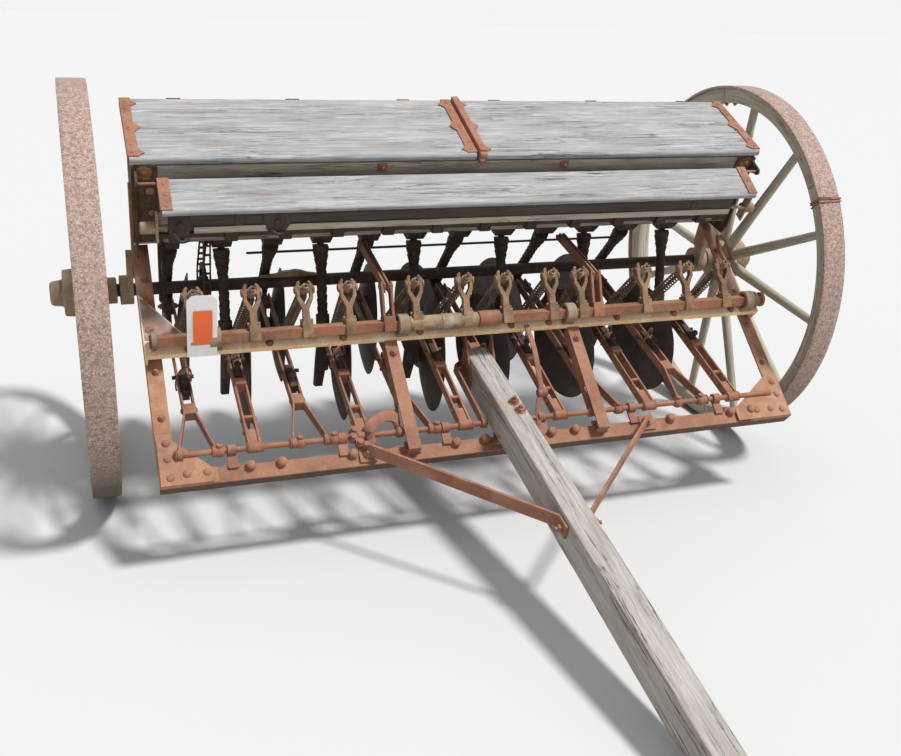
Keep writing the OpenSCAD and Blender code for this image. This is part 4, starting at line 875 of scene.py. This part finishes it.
def buildDiscs():
    # a slice of a ball with a worn edge, and a turned hub
    dish, big = openers["dish"], openers["discR"]
    ball = (big ** 2 + dish ** 2) / (2 * dish)
    rr = np.concatenate([np.linspace(25, big - 6, 16), [big - 3, big - 0.8, big]])
    outer = np.stack([27.7 + ball - np.sqrt(ball ** 2 - rr ** 2), rr], -1)
    r2 = rr[::-1]
    inner = np.stack([27.7 + ball - np.sqrt((ball - 4) ** 2 - r2 ** 2), r2], -1)
    inner[0] = outer[-1] + (0.9, 0)
    inner[1] = inner[1] - (1.2, 0)
    hubProf = np.array([(20.7, 10.3), (20.7, 24), (22, 27), (30, 27), (30.5, 25.4)])
    hubIn = np.array([(33.5, 25), (36, 21), (52.5, 18), (54.3, 15), (54.3, 0.1)])
    prof = np.concatenate([hubProf, outer, inner, hubIn])
    c, s = cosD(openers["turn"]), sinD(openers["turn"])
    n = 72
    for i in range(drill["rows"]):
        side = 1 if i < drill["rows"] / 2 else -1
        rows = lathe(prof, n)
        ph = np.arange(n) * 2 * np.pi / n
        edge = np.clip((np.hypot(rows[..., 1], rows[..., 2]) - 150) / 40, 0, 1)
        shrink = 1 - edge * 0.006 * (1 + waves(ph / 6.2832 * 2, 300 + i, 7, 1, 8))[None]
        rows[..., 1] *= shrink
        rows[..., 2] *= shrink
        x, y, z = rows[..., 0] * side, rows[..., 1], rows[..., 2]
        # turn about the upright so that the leading edge swings to the boot's side
        xr = x * c + y * s * side
        yr = -x * s * side + y * c
        centre = discAt(i)
        pts = np.stack([centre[0] + xr, centre[1] - yr, centre[2] + z], -1)
        b = newBatch()
        addGrid(b, toGround(pts), caps=False, flip=side < 0)
        name = "disc_%02d" % (i + 1)
        finishBatch(b, name + "_plate", name, paint["dark"] if i < 6 else paint["steel"],
                    stands=[name])


def buildSeedTubes():
    # steel ribbon wound into a cone-jointed tube: radius steps up along a helix
    b = newBatch()
    head = np.array([openers["cupU"], openers["headV"]])
    for i in range(drill["rows"]):
        foot = discAt(i)[1:] + (-openers["funnelBack"], openers["funnelV"])
        full = np.linalg.norm(head - foot)
        way = (head - foot) / full
        across = np.array([way[1], -way[0]])
        n, m = 120, 22
        t = np.linspace(9, full - 17, n)[:, None]
        ang = np.linspace(0, 2 * np.pi, m, endpoint=False)[None]
        turns = t / 25.0 - ang / (2 * np.pi)
        saw = turns - np.floor(turns)
        bell = np.clip((t - full * 0.62) / (full * 0.3), 0, 1)
        rad = openers["tubeR"] - 1.2 + 3.0 * saw ** 0.7 + 9 * bell * bell * (3 - 2 * bell)
        sag = np.sin(np.pi * (t - 9) / (full - 26)) * rng.uniform(-1.5, 1.5)
        x = rowX(i) + rad * np.cos(ang) + sag
        o = rad * np.sin(ang)
        u = foot[0] + way[0] * t + across[0] * o
        v = foot[1] + way[1] * t + across[1] * o
        addGrid(b, toGround(np.stack([x, u, v], -1)), flip=True)
    finishBatch(b, "ribbon_tubes", "frame", paint["dark"], sharp=35, stands=["seed_tubes"])


shaftAt = np.array([0.0, *bed(0, drill["crossPlace"] + 28, drill["crossLeg"] + 28)[1:]])
armLean, armLen = 34.0, 115.0
trunnion = shaftAt + (0, -armLen * sinD(armLean), armLen * cosD(armLean))


def buildSprings():
    # rods with wound springs: the wire climbs 10.5 mm a turn and lies flat at both ends
    make = {"coils": 16, "pitch": 10.5, "wire": 2.5, "coil": 14.2, "drop": 30.0, "over": 27.0}
    b = newBatch()
    for i in range(drill["rows"]):
        k = kindOf(i)
        foot = barAt(i, openers["foot"][k])
        foot = np.array([rowX(i), foot[1] + 20 * sinD(openers["rise"][k]), foot[2] + 20])
        top = trunnion + (rowX(i) + openers["shift"][i], 0, 0)
        length = np.linalg.norm(top - foot)
        way = (top - foot) / length
        side = np.cross(way, (0.0, 1.0, 0.0))
        side /= np.linalg.norm(side)
        up = np.cross(way, side)
        seat1 = length - make["drop"]
        seat0 = seat1 - make["coils"] * make["pitch"]
        rodBetween(b, foot - way * 2, foot + way * (length + make["over"]), 0.0048, 12, slot=2)
        t = np.linspace(0, 1, make["coils"] * 16)
        ang = t * make["coils"] * 2 * np.pi + i
        climb = np.clip((t - 0.03) / 0.94, 0, 1)
        path = foot + way * (seat0 + 3.4 + (seat1 - seat0 - 7) * climb)[:, None] \
            + (side * np.cos(ang)[:, None] + up * np.sin(ang)[:, None]) * make["coil"]
        wire(b, path, make["wire"] / 1000, 7, (0.2, 0.5, 1))
        for at in (seat0 - 5, seat1 - 1):
            rodBetween(b, foot + way * at, foot + way * (at + 5), 0.0155, 18, slot=1)
        # nut and split pin over the fork, foot clip round the bars
        p0 = foot + way * (length + 13)
        rodBetween(b, p0, p0 + way * 8, 0.0095, 6, slot=1)
        pin = foot + way * (length + 24)
        rodBetween(b, pin - (11, 0, 0), pin + (11, 0, 0), 0.0016, 6, slot=1)
        clip = openers["foot"][k]
        barBetween(b, barAt(i, clip, 14.4), barAt(i, clip, 22), 0.036, 0.024, slot=1)
    finishBatch(b, "springs_and_rods", "frame", [paint["coil"], paint["drab"], paint["dark"]],
                stands=["pressure_springs"])


buildDiscs()
buildSeedTubes()
buildSprings()
print("openers built")


# ---- bolts, nuts and small fittings

def bedOut():
    p, q = toGround(bed(0, 100, 0)), toGround(bed(0, 100, 10))
    return (q - p) / np.linalg.norm(q - p)


def boltFrame():
    up = bedOut()
    half = drill["frameHalf"]
    for s in (-1, 1):
        for x, y in ((28, 24), (70, 30), (122, 30), (26, 78), (26, 122)):
            frameBolt(bed(s * (half - x), y, 9.3), up, 0.011, "round", washer=False)
        for y in (200, 340, 470, 560, 640, 735):
            frameBolt(bed(s * (half - 24), y, 0), up, 0.009, stem=0.004)
    for x in (-737, -654, -458, -157, -69, 141, 218, 456, 543, 759, 832):
        frameBolt(bed(x, 36, 0), up, 0.0135)
        frameBolt(bed(x, 36, 12), up, 0.0135, "round", washer=False)
    for x in (-860, -640, -430, -200, 90, 215, 450, 655, 870):
        frameBolt(bed(x, drill["crossPlace"] + 14, drill["crossLeg"]), up, 0.009, "square", stem=0.004)
    for x in (-290, 297):
        frameBolt(bed(x, 320, 38), up, 0.010, stem=0.005)
        frameBolt(bed(x + 6, 38, 6), up, 0.010, stem=0.005)


def boltPole():
    for x, u in ((11, 672), (15, 714)):
        frameBolt((x, u, poleOver - 0.5), facing(level, 0, 0, 10), 0.013, "square", stem=0.009)
    for s in (-1, 1):
        for u in (400, 450):
            frameBolt((s * 44.4, u, poleUnder + 28), (s, 0, 0), 0.010, stem=0.006)
    for s, x in ((-1, -418), (1, 458)):
        frameBolt(bed(x, 30, 7), bedOut(), 0.012, stem=0.008)
        frameBolt((s * 46.6, 1155, -80), (s, 0, 0), 0.011, stem=0.008)


def boltHinges():
    # nuts and eyes along the hinge rod, at the boots and through the bars
    for i in range(drill["rows"]):
        short = kindOf(i)
        for s in (-1, 1):
            if not short and abs(rowX(i)) < 60:
                continue
            off = 18.5 if short else 53.5
            frameBolt((rowX(i) + s * off, hinge[0], hinge[1]), (s, 0, 0), 0.0125, "round")
        for s in (-1, 1):
            frameBolt(barAt(i, openers["len"][short], 0, s * 18), (s, 0, 0), 0.009, stem=0.005)
        for d in ((60, 109) if short else (176,)):
            for s in (-1, 1):
                frameBolt(barAt(i, d, 0, s * 18), (s, 0, 0), 0.0075, "round")


def buildBarHooks():
    # dark trip castings between the drag bars, some with a wire loop over them
    b = newBatch()
    for i in range(drill["rows"]):
        d0 = (236, 262)[kindOf(i)] + 14 * math.sin(i * 2.1)
        d1 = d0 + 96
        barBetween(b, barAt(i, d0, 2), barAt(i, d1, 6), 0.019, 0.030)
        rodBetween(b, barAt(i, d0 + 20, -6), barAt(i, d0 + 26, 46), 0.0065, 10)
        rodBetween(b, barAt(i, d0 + 25, 34), barAt(i, d0 + 26, 42), 0.011, 6)
        rodBetween(b, barAt(i, d1 - 16, 8, -30), barAt(i, d1 - 16, 8, 30), 0.006, 10)
        if i % 3 != 2:
            a = np.linspace(-0.15, 1.15, 22) * np.pi
            loop = [barAt(i, d0 + 62 + 20 * math.cos(t), 10 + 44 * math.sin(t), 24 * math.cos(t)) for t in a]
            wire(b, loop, 0.0028, 8, (0.3, 1, 0.1), slot=1)
    finishBatch(b, "bar_hooks", "frame", [paint["dark"], paint["rust"]], bevel=0.0008)


def buildRimWire():
    # rusty wire wound round the right rim
    b = newBatch()
    ws = wheelShape
    out, deep = drill["wheelR"] + 2.4, ws["tyreThick"] + ws["felloeDeep"] + 5
    x, half = ws["tyreWide"] / 2 + 2.4, ws["felloeWide"] / 2 + 3
    for k, a0 in enumerate((0.535, 0.548, 0.556)):
        ring = [(-x, out), (x, out), (x, out - 12), (half, out - 16), (half, out - deep + 8), (0, out - deep),
                (-half, out - deep + 8), (-half, out - 16), (-x, out - 12), (-x, out)]
        path = np.array([wheelPoints(1, px, r, np.array(a0 + 0.006 * math.sin(j + k)))
                         for j, (px, r) in enumerate(ring)])
        addGrid(b, sweep(path, circle(6, 0.0019), (0.2, 1, 0.1)))
    finishBatch(b, "rim_wire", "wheel_right", paint["rust"])


def buildRodCollars():
    b = newBatch()
    for x in (-813, -597, -504, -207, 372, 581, 660):
        p = np.array([x, *hinge])
        turned(b, [(-12, 8.1), (-11.5, 12), (-7, 15.5), (0, 16.5), (7, 15.5), (11.5, 12), (12, 8.1)], 22, p)
        rodBetween(b, p + (0, 0, 10), p + (0, 0, 22), 0.008, 12)
    finishBatch(b, "rod_collars", "frame", paint["rust"], sharp=35)


def nailLids():
    for side, body in ((-1, "lid_left"), (1, "lid_right")):
        for x in (lidShape["half"] - 14, lidShape["gap"] / 2 + 14):
            for d in (22, 60, lidDeep * .5, lidDeep * .5 + 12, lidDeep - 62, lidDeep - 26):
                at = toGround(onLid(side * x, d, lidShape["thick"] + 3.3))
                bolt(body, at, facing(onLid, 0, 0, 10), 0.0055, "round", washer=False)
    for s in (-1, 1):
        for d in (20, 60, 98):
            at = toGround(onSeedLid(s * (seedShape["half"] - 15), d, seedShape["thick"] + 3.3))
            bolt("lid_front", at, facing(onSeedLid, 0, 0, 10), 0.005, "round", washer=False)


def mirrored(points, s):
    # the outline on side s, still turning the same way
    return [(s * x, y) for x, y in (points if s > 0 else points[::-1])]


def platePiece(batch, points, n0, n1, slot=0):
    # a flat plate on the sloping frame: outline of (x, s) points, from height n0 to n1
    ring = np.array(points, float)
    rings = [bed(ring[:, 0], ring[:, 1], n) for n in (n0, n1)]
    addGrid(batch, toGround(np.array(rings)), slot=slot)


def buildFrontIron():
    # the front angle iron, its lower leg darkened with painted shade, with a web under each corner plate
    b = newBatch()
    half, deep, leg, thick = drill["frameHalf"], 43, 40, 6
    xs = np.linspace(-half, half, 70)[:, None]
    for s0, s1, n0, n1, slot in ((0, deep, -thick, 0, 0), (0, thick, -leg, -thick, 1)):
        ring = np.array([(s0, n0), (s1, n0), (s1, n1), (s0, n1)], float)
        worn = waves(xs / 1000, 41, 9, 0.5, 12) * 0.5
        rows = bed(xs + 0 * ring[None, :, 0], ring[None, :, 0] + worn, ring[None, :, 1] + 0 * xs)
        addGrid(b, toGround(rows), slot=slot)
    for s in (-1, 1):
        pts = [(half, 0), (half, 150), (half - 44, 150), (half - 44, 57), (half - 150, deep), (half - 150, 0)]
        platePiece(b, mirrored(pts, s), -thick, thick, slot=2)
    platePiece(b, [(-37, deep), (37, deep), (37, 57), (-37, 57)], -thick, 0, slot=1)
    finishBatch(b, "front_iron", "frame", [paint["rust"], paint["shade"], paint["rail"]],
                sharp=35, bevel=0.0012, stands=["front_bar"])


def buildAxleCleat():
    # a weathered humped casting that lies on the axle
    b = newBatch()
    t = np.linspace(0, 1, 30)
    tall = 6 + 15 * np.sin(np.pi * t ** 1.3) ** 1.8 + waves(t, 77, 6, 1, 9) * 2
    wide = 16 + 16 * np.sin(np.pi * t) ** 0.7 + waves(t, 78, 6, 1, 9) * 2
    path = np.stack([-592 + 179 * t, 2 + 0 * t, 19.4 + tall / 2], -1)
    rings = roundedBox(1, 1, 0.3)[None] * np.stack([wide, tall], -1)[:, None] / 1000
    addGrid(b, sweep(toGround(path), rings, (0, 1, 0)), uvAt=(7.0, 2.0))
    finishBatch(b, "axle_cleat", "frame", paint["drab"], sharp=50)


def buildCornerPlates():
    # riveted plates with a slanted inner edge over the two front corners
    b = newBatch()
    for s, reach, deep in ((-1, 137, 132), (1, 197, 151)):
        pts = [(971, 2), (971, deep), (933, deep), (973 - reach, 42), (973 - reach, 2)]
        platePiece(b, mirrored(pts, s), 6.2, 9.2)
    finishBatch(b, "corner_plates", "frame", paint["rail"], sharp=35, bevel=0.0008)


def buildEarPlates():
    # worn slate paint on the upper corner plates of the cross iron
    b = newBatch()
    s0 = drill["crossPlace"] + drill["crossDeep"] + 2
    for s in (-1, 1):
        pts = [(969, s0), (838, s0), (969, s0 + 163)]
        platePiece(b, mirrored(pts[::-1], s), 6.2, 7.0)
    finishBatch(b, "ear_faces", "frame", paint["slate"], sharp=35)
    for s in (-1, 1):
        for x, y in ((955, 560), (955, 470), (880, 428)):
            frameBolt(bed(s * x, y, 6.8), bedOut(), 0.010, "round", washer=False)


def strapPath(batch, points, w, t, side, n, slot=0):
    # a bent flat strap, w by t in mm, through the points
    ring = roundedBox(w / 1000, t / 1000, 0.0006, 2)
    addGrid(batch, sweep(toGround(smoothPath(points, n)), ring, side), slot=slot)


def buildStraps():
    b = newBatch()
    # bowed flat bar from the shaft to an eye bolt on the front iron, right of the pole
    bowed = [bed(138, 372, 52), bed(143, 294, 48), bed(136, 205, 42), bed(131, 157, 36), bed(113, 112, 24),
             bed(101, 34, 8)]
    strapPath(b, bowed, 15, 6, (1, 0, 0.2), 40)
    rodBetween(b, bed(118, 150, 36), bed(146, 150, 36), 0.012, 14)
    rodBetween(b, bed(101, 30, 6), bed(101, 30, 26), 0.011, 12)
    # hook bracket left of the pole and a bent clip beside the left beam
    bracket = [bed(-52, 22, 8), bed(-40, 22, 9), bed(-30, 22, 20), bed(-28, 22, 34), bed(-38, 22, 40)]
    strapPath(b, bracket, 22, 5, (0, 1, 0), 20)
    clip = [bed(-318, 104, 12), bed(-330, 122, 30), bed(-362, 122, 42), bed(-398, 104, 40), bed(-410, 78, 26),
            bed(-398, 58, 10)]
    strapPath(b, clip, 30, 11, (0, 0.5, 0.8), 34)
    for x, y in ((-436, 62), (-452, 80), (-446, 100), (-420, 52)):
        rodBetween(b, bed(x, y, 2), bed(x, y, 24), 0.0125, 12)
        rodBetween(b, bed(x, y, 24), bed(x, y, 31), 0.0085, 10)
    # a hooked strap over the right standard
    hook = [(868, 240, 225), (884, 243, 182), (908, 246, 145), (932, 246, 124), (944, 244, 140),
            (926, 241, 176), (902, 238, 206), (886, 236, 220)]
    strapPath(b, hook, 16, 5, (0, 1, 0.2), 44, slot=1)
    # straps over the front box's front board, and small latch plates under the upper lids
    for x in (-708, 700):
        strap = [(x, 306.5, 393), (x, 303.5, 366), (x, 300.6, 339.4), (x, 292, 333), (x, 258, 323)]
        strapPath(b, strap, 22, 2.6, (1, 0, 0), 30, slot=2)
    for x in (-285, 288):
        barBetween(b, (x, 179.5, 470), (x, 176.5, 448), 0.026, 0.004, slot=1)
        rodBetween(b, (x, 178.5, 459), (x, 189, 458), 0.005, 10, slot=1)
    finishBatch(b, "straps_and_clips", "frame", [paint["rust"], paint["orange"], paint["dark"]])


def buildFrontBoxTrim():
    # round pivot bosses and pale plates at both ends, rusty gate castings over the front board
    b = newBatch()
    for s in (-1, 1):
        boss = [(918, 2), (918, 15), (921, 17), (958, 16.5), (961, 14), (961.5, 5), (956, 4.6)]
        turned(b, boss, 28, (0, 250, 329), s)
        plate = [(s * 915, 292, 386), (s * 915, 262, 384), (s * 915, 240, 300), (s * 915, 268, 290)]
        rings = np.array([[(x + d * s, u, v) for x, u, v in plate] for d in (0, 6)])
        addGrid(b, toGround(rings), flip=s > 0)
        barBetween(b, (s * 842, 270, 345), (s * 918, 266, 338), 0.022, 0.008, (0, 1, 0))
    finishBatch(b, "front_box_pivots", "frame", paint["tan"], sharp=35, bevel=0.0006)
    b = newBatch()
    for x0, x1, low in ((-893, -836, 316), (-646, -572, 328)):
        xs = np.linspace(x0, x1, 22)
        t = (xs - x0) / (x1 - x0)
        rings = []
        for k in range(7):
            f = k / 6
            v = 389 - (389 - low) * f * (1 - 0.45 * np.abs(2 * t - 1) ** 2.4)
            u = 304 + 9 * np.sin(np.pi * np.clip(t, 0.02, 0.98)) ** 0.4 * (0.6 + 0.4 * np.sin(np.pi * f)) \
                + 2.5 * np.sin(9 * t + 5 * f)
            rings.append(np.concatenate([np.stack([xs, u, v], -1), np.stack([xs, u * 0 + 299, v], -1)[::-1]]))
        addGrid(b, toGround(np.array(rings)), flip=True)
        xm = (x0 + x1) / 2
        rodBetween(b, (xm, 304, 366), (xm, 319, 365), 0.008, 6)
        lug = smoothPath([(xm - 16, 312, 344), (xm, 318, low + 4), (xm + 26, 306, low + 2)], 16)
        wire(b, lug, 0.005, 8, (0, 1, 0.2))
    finishBatch(b, "gate_castings", "frame", paint["dark"])
    # coil at the left end between the box and the axle
    b = newBatch()
    turns, top, low, r = 26, 228.0, 45.0, 9.5
    t = np.linspace(0, 1, turns * 12)
    path = np.stack([-899 + r * np.cos(t * turns * 2 * np.pi), 150 + r * np.sin(t * turns * 2 * np.pi),
                     low + (top - low) * t], -1)
    wire(b, path, 0.0024, 6, (0.2, 0.5, 1))
    rodBetween(b, (-899, 150, low - 40), (-899, 150, low + 6), 0.004, 10)
    rodBetween(b, (-899, 150, top - 6), (-899, 150, 262), 0.004, 10)
    rodBetween(b, (-640, 20, 117), (640, 20, 117), 0.004, 10)
    finishBatch(b, "end_coil", "frame", paint["dark"])


def buildLapBar():
    # the right upper lid carries a bar beside the joint, turned down at the front
    b = newBatch()
    x, up = 13.5, lidShape["thick"] + 3.6
    barBetween(b, onLid(x, 3, up + 4.5), onLid(x, lidDeep - 4, up + 4.5), 0.021, 0.012)
    bent = ((lidDeep - 8, up + 3), (lidDeep + 3, up - 1), (lidDeep + 5, 8), (lidDeep + 3, -4))
    strapPath(b, [onLid(x, d, h) for d, h in bent], 22, 4, (1, 0, 0), 14)
    rodBetween(b, onLid(3, lidDeep + 7, 6), onLid(19, lidDeep + 7, 6), 0.0045, 12)
    finishBatch(b, "lid_lap_bar", "lid_right", paint["orange"])


def ringOnShaft(batch, x0, x1, r, slot=0):
    prof = [(x0, 21), (x0, r - 2), (x0 + 2, r), (x1 - 2, r), (x1, r - 2), (x1, 21)]
    turned(batch, prof, 28, shaftAt, slot=slot)


def buildShaftCastings():
    # sleeves, collars and clamp castings along the rock shaft
    b = newBatch()
    for x0, x1, r, slot in ((-238, -24, 21.8, 1), (-141, -83, 23.5, 1), (-23, 45, 24.2, 2), (940, 952, 27, 0),
                            (-958, -944, 26, 0)):
        ringOnShaft(b, x0, x1, r, slot)
    for x in (-256, 277, 921):
        ringOnShaft(b, x - 16, x + 16, 30.5)
        for dx in (-1, 1):
            foot = bed(x + dx * 12, drill["crossPlace"] + 6, drill["crossLeg"] + 9)
            rodBetween(b, foot, foot + (0, 3, 6), 0.008, 14)
    finishBatch(b, "shaft_castings", "frame", [paint["drab"], paint["tan"], paint["rust"]],
                sharp=35)


def buildArmCaps():
    # rounded bosses, cotters and knobs that thicken the top of each arm
    b = newBatch()
    up = np.array([0.0, -sinD(armLean), cosD(armLean)])
    for i in range(drill["rows"]):
        x = rowX(i) + openers["shift"][i]
        for s in (-1, 1):
            boss = [(22.5, 4), (22.5, 11.5), (25, 12.5), (28, 11), (29.5, 7), (30, 0.4)]
            turned(b, boss, 18, trunnion + (x, 0, 0), s)
        for s in (-1, 1):
            p = shaftAt + (x + s * 18.5, 0, 0) + up * (armLen + 12)
            tip = smoothPath([p, p + up * 7 - (s * 2, 0, 0), p + up * 10 - (s * 7, 0, 0)], 9)
            wire(b, tip, 0.0045, 10, (0, 1, 0.2))
        # a cotter through the hub
        p = shaftAt + (x, 0, 0) + up * 30
        rodBetween(b, p - (18, 0, 0), p + (18, 0, 0), 0.0045, 10)
    finishBatch(b, "arm_bosses", "frame", paint["arm"], sharp=35)


def plainPaint(name, colour, wear):
    m, t, p = startMaterial(name, 0.3)
    at = t.nodes.new("ShaderNodeTexCoord").outputs["Object"]
    mask = ramp(t, noise(t, at, 60.0, 6, 0.7), [(0.5, 0), (0.75, 1)])
    feed(t, p, {"Base Color": mixColour(t, times(t, mask, wear), colour, (.5, .45, .38)), "Roughness": 0.6})
    return m


def buildTag():
    # a blank card with a blank orange panel, hung by a wire from the left arm
    x0, x1, v0, v1, c, ahead = -866.0, -787.0, 32.0, 224.0, 14.0, 434.0
    b = newBatch()
    outline = [(x0, v0), (x1, v0), (x1, v1 - c), (x1 - c, v1), (x0 + c, v1), (x0, v1 - c)]
    bend = lambda x, v: ahead + 5 * math.sin((v - v0) / (v1 - v0) * 2.4) + 0.02 * (x - x0)
    rings = [[(x, bend(x, v) + d, v) for x, v in outline] for d in (0.0, 0.9)]
    addGrid(b, toGround(np.array(rings)))
    px0, px1 = x0 + 16, x1 - 13
    rows = [[(x, bend(x, v) + d, v) for x, d in ((px0, 0.9), (px1, 0.9), (px1, 1.3), (px0, 1.3))]
            for v in np.linspace(v0 + 38, v1 - 46, 9)]
    addGrid(b, toGround(np.array(rows)), slot=1, flip=True)
    xm = (x0 + x1) / 2
    eye = (xm, bend(xm, v1 - 12), v1 - 12)
    loop = [eye, (xm - 2, ahead - 18, v1 - 6), (rowX(0) + 29, trunnion[1] + 8, trunnion[2] + 8)]
    wire(b, smoothPath(loop, 16), 0.0012, 6, (1, 0.1, 0.2), slot=2)
    white = plainPaint("cardWhite", (.85, .85, .84), 0.15)
    orange = plainPaint("cardOrange", (.85, .16, .04), 0.1)
    finishBatch(b, "blank_card", "frame", [white, orange, paint["dark"]])


def flangeFace(v, out):
    # how far ahead the face of a cast end's front flange lies at height v
    (u1, v1), (u0, v0) = boxShape["front"], boxShape["frontLow"]
    return u1 - (v1 - v) * (u1 - u0) / (v1 - v0) + out


def buildEndPaint():
    # a worn round patch of ochre in the upper corner of each cast end's flange
    b = newBatch()
    for s in (-1, 1):
        for x, v, r, slot in ((940, 455, 21, 0), (925, 398, 11, 1)):
            u = flangeFace(v, 5.45)
            a = np.arange(36)
            ring = circle(36, r) * (1 + 0.10 * np.sin(a * 1.9) + 0.07 * np.sin(a * 0.7 + s))[:, None]
            pts = np.stack([s * x + ring[:, 0], u + ring[:, 1] * 42 / 252, v + ring[:, 1]], -1)
            addGrid(b, toGround(np.stack([pts, pts + (0, 0.5, 0)])), slot=slot)
    finishBatch(b, "end_patches", "frame", [paint["ochre"], paint["slate"]])
    for s in (-1, 1):
        for x, v in ((940, 455), (921, 330)):
            frameBolt((s * x, flangeFace(v, 5.9), v), facing(level, 0, 10, 0), 0.009, "round", washer=False)


buildFrontIron()
buildAxleCleat()
buildCornerPlates()
buildEarPlates()
buildStraps()
buildFrontBoxTrim()
buildLapBar()
buildShaftCastings()
buildArmCaps()
buildTag()
buildEndPaint()
boltFrame()
boltPole()
boltHinges()
buildRodCollars()
buildBarHooks()
buildRimWire()
nailLids()
for body, batch in boltBatches.items():
    finishBatch(batch, "bolts_" + body, body, paint["rust"], sharp=38)
print("fittings built")


# ---- floor, light and camera

stage = {"floor": (0.565, 0.56, 0.553), "key": 3.8, "fill": 0.62}


def buildStage():
    m, t, p = startMaterial("paleFloor", 0.1)
    feed(t, p, {"Base Color": stage["floor"], "Roughness": 0.9})
    mesh = bpy.data.meshes.new("floor")
    mesh.from_pydata([(-40, -40, 0), (40, -40, 0), (40, 40, 0), (-40, 40, 0)], [], [(0, 1, 2, 3)])
    mesh.materials.append(m)
    newObject("floor", mesh)
    world = bpy.data.worlds.new("softSky")
    bpy.context.scene.world = world
    world.use_nodes = True
    nt = world.node_tree
    sky = feed(nt, nt.nodes["Background"], {"Color": (0.93, 0.96, 1.0), "Strength": stage["fill"]})
    white = newNode(nt, "ShaderNodeBackground", {"Color": (1, 1, 1), "Strength": 0.9})
    rays = nt.nodes.new("ShaderNodeLightPath").outputs
    seen = calc(nt, "ADD", rays["Is Camera Ray"], rays["Is Transmission Ray"], True)
    mix = newNode(nt, "ShaderNodeMixShader", {0: seen, 1: sky.outputs[0], 2: white.outputs[0]})
    feed(nt, nt.nodes["World Output"], {"Surface": mix.outputs[0]})
    at = Vector((2.2, -1.8, 5.0))
    sun = bpy.data.lights.new("sun", "SUN")
    sun.energy, sun.angle = stage["key"], math.radians(9)
    obj = newObject("sun", sun)
    obj.location = at
    obj.rotation_euler = at.to_track_quat("Z", "Y").to_euler()


def placeCamera():
    # found by fitting the wheels, lids, rails, front iron and rock shaft to the picture
    seen = {"at": (-1.1221, -3.1064 - midY / 1000, 1.5009), "yaw": 0.3633, "pitch": -0.3649, "roll": 0.0452,
            "lens": 1025 / 901 * 36}
    cy, sy = math.cos(seen["yaw"]), math.sin(seen["yaw"])
    cp, sp = math.cos(seen["pitch"]), math.sin(seen["pitch"])
    fwd = Vector((sy * cp, cy * cp, sp))
    right = Vector((cy, -sy, 0))
    up = right.cross(fwd)
    cr, sr = math.cos(seen["roll"]), math.sin(seen["roll"])
    r2, u2 = cr * right + sr * up, cr * up - sr * right
    cam = bpy.data.cameras.new("camera")
    cam.lens, cam.sensor_width = seen["lens"], 36
    obj = newObject("camera", cam)
    obj.matrix_world = Matrix.Translation(seen["at"]) @ Matrix((r2, u2, -fwd)).transposed().to_4x4()
    bpy.context.scene.camera = obj


buildStage()
placeCamera()
bpy.context.scene.view_settings.view_transform = "Standard"
print("scene ready")
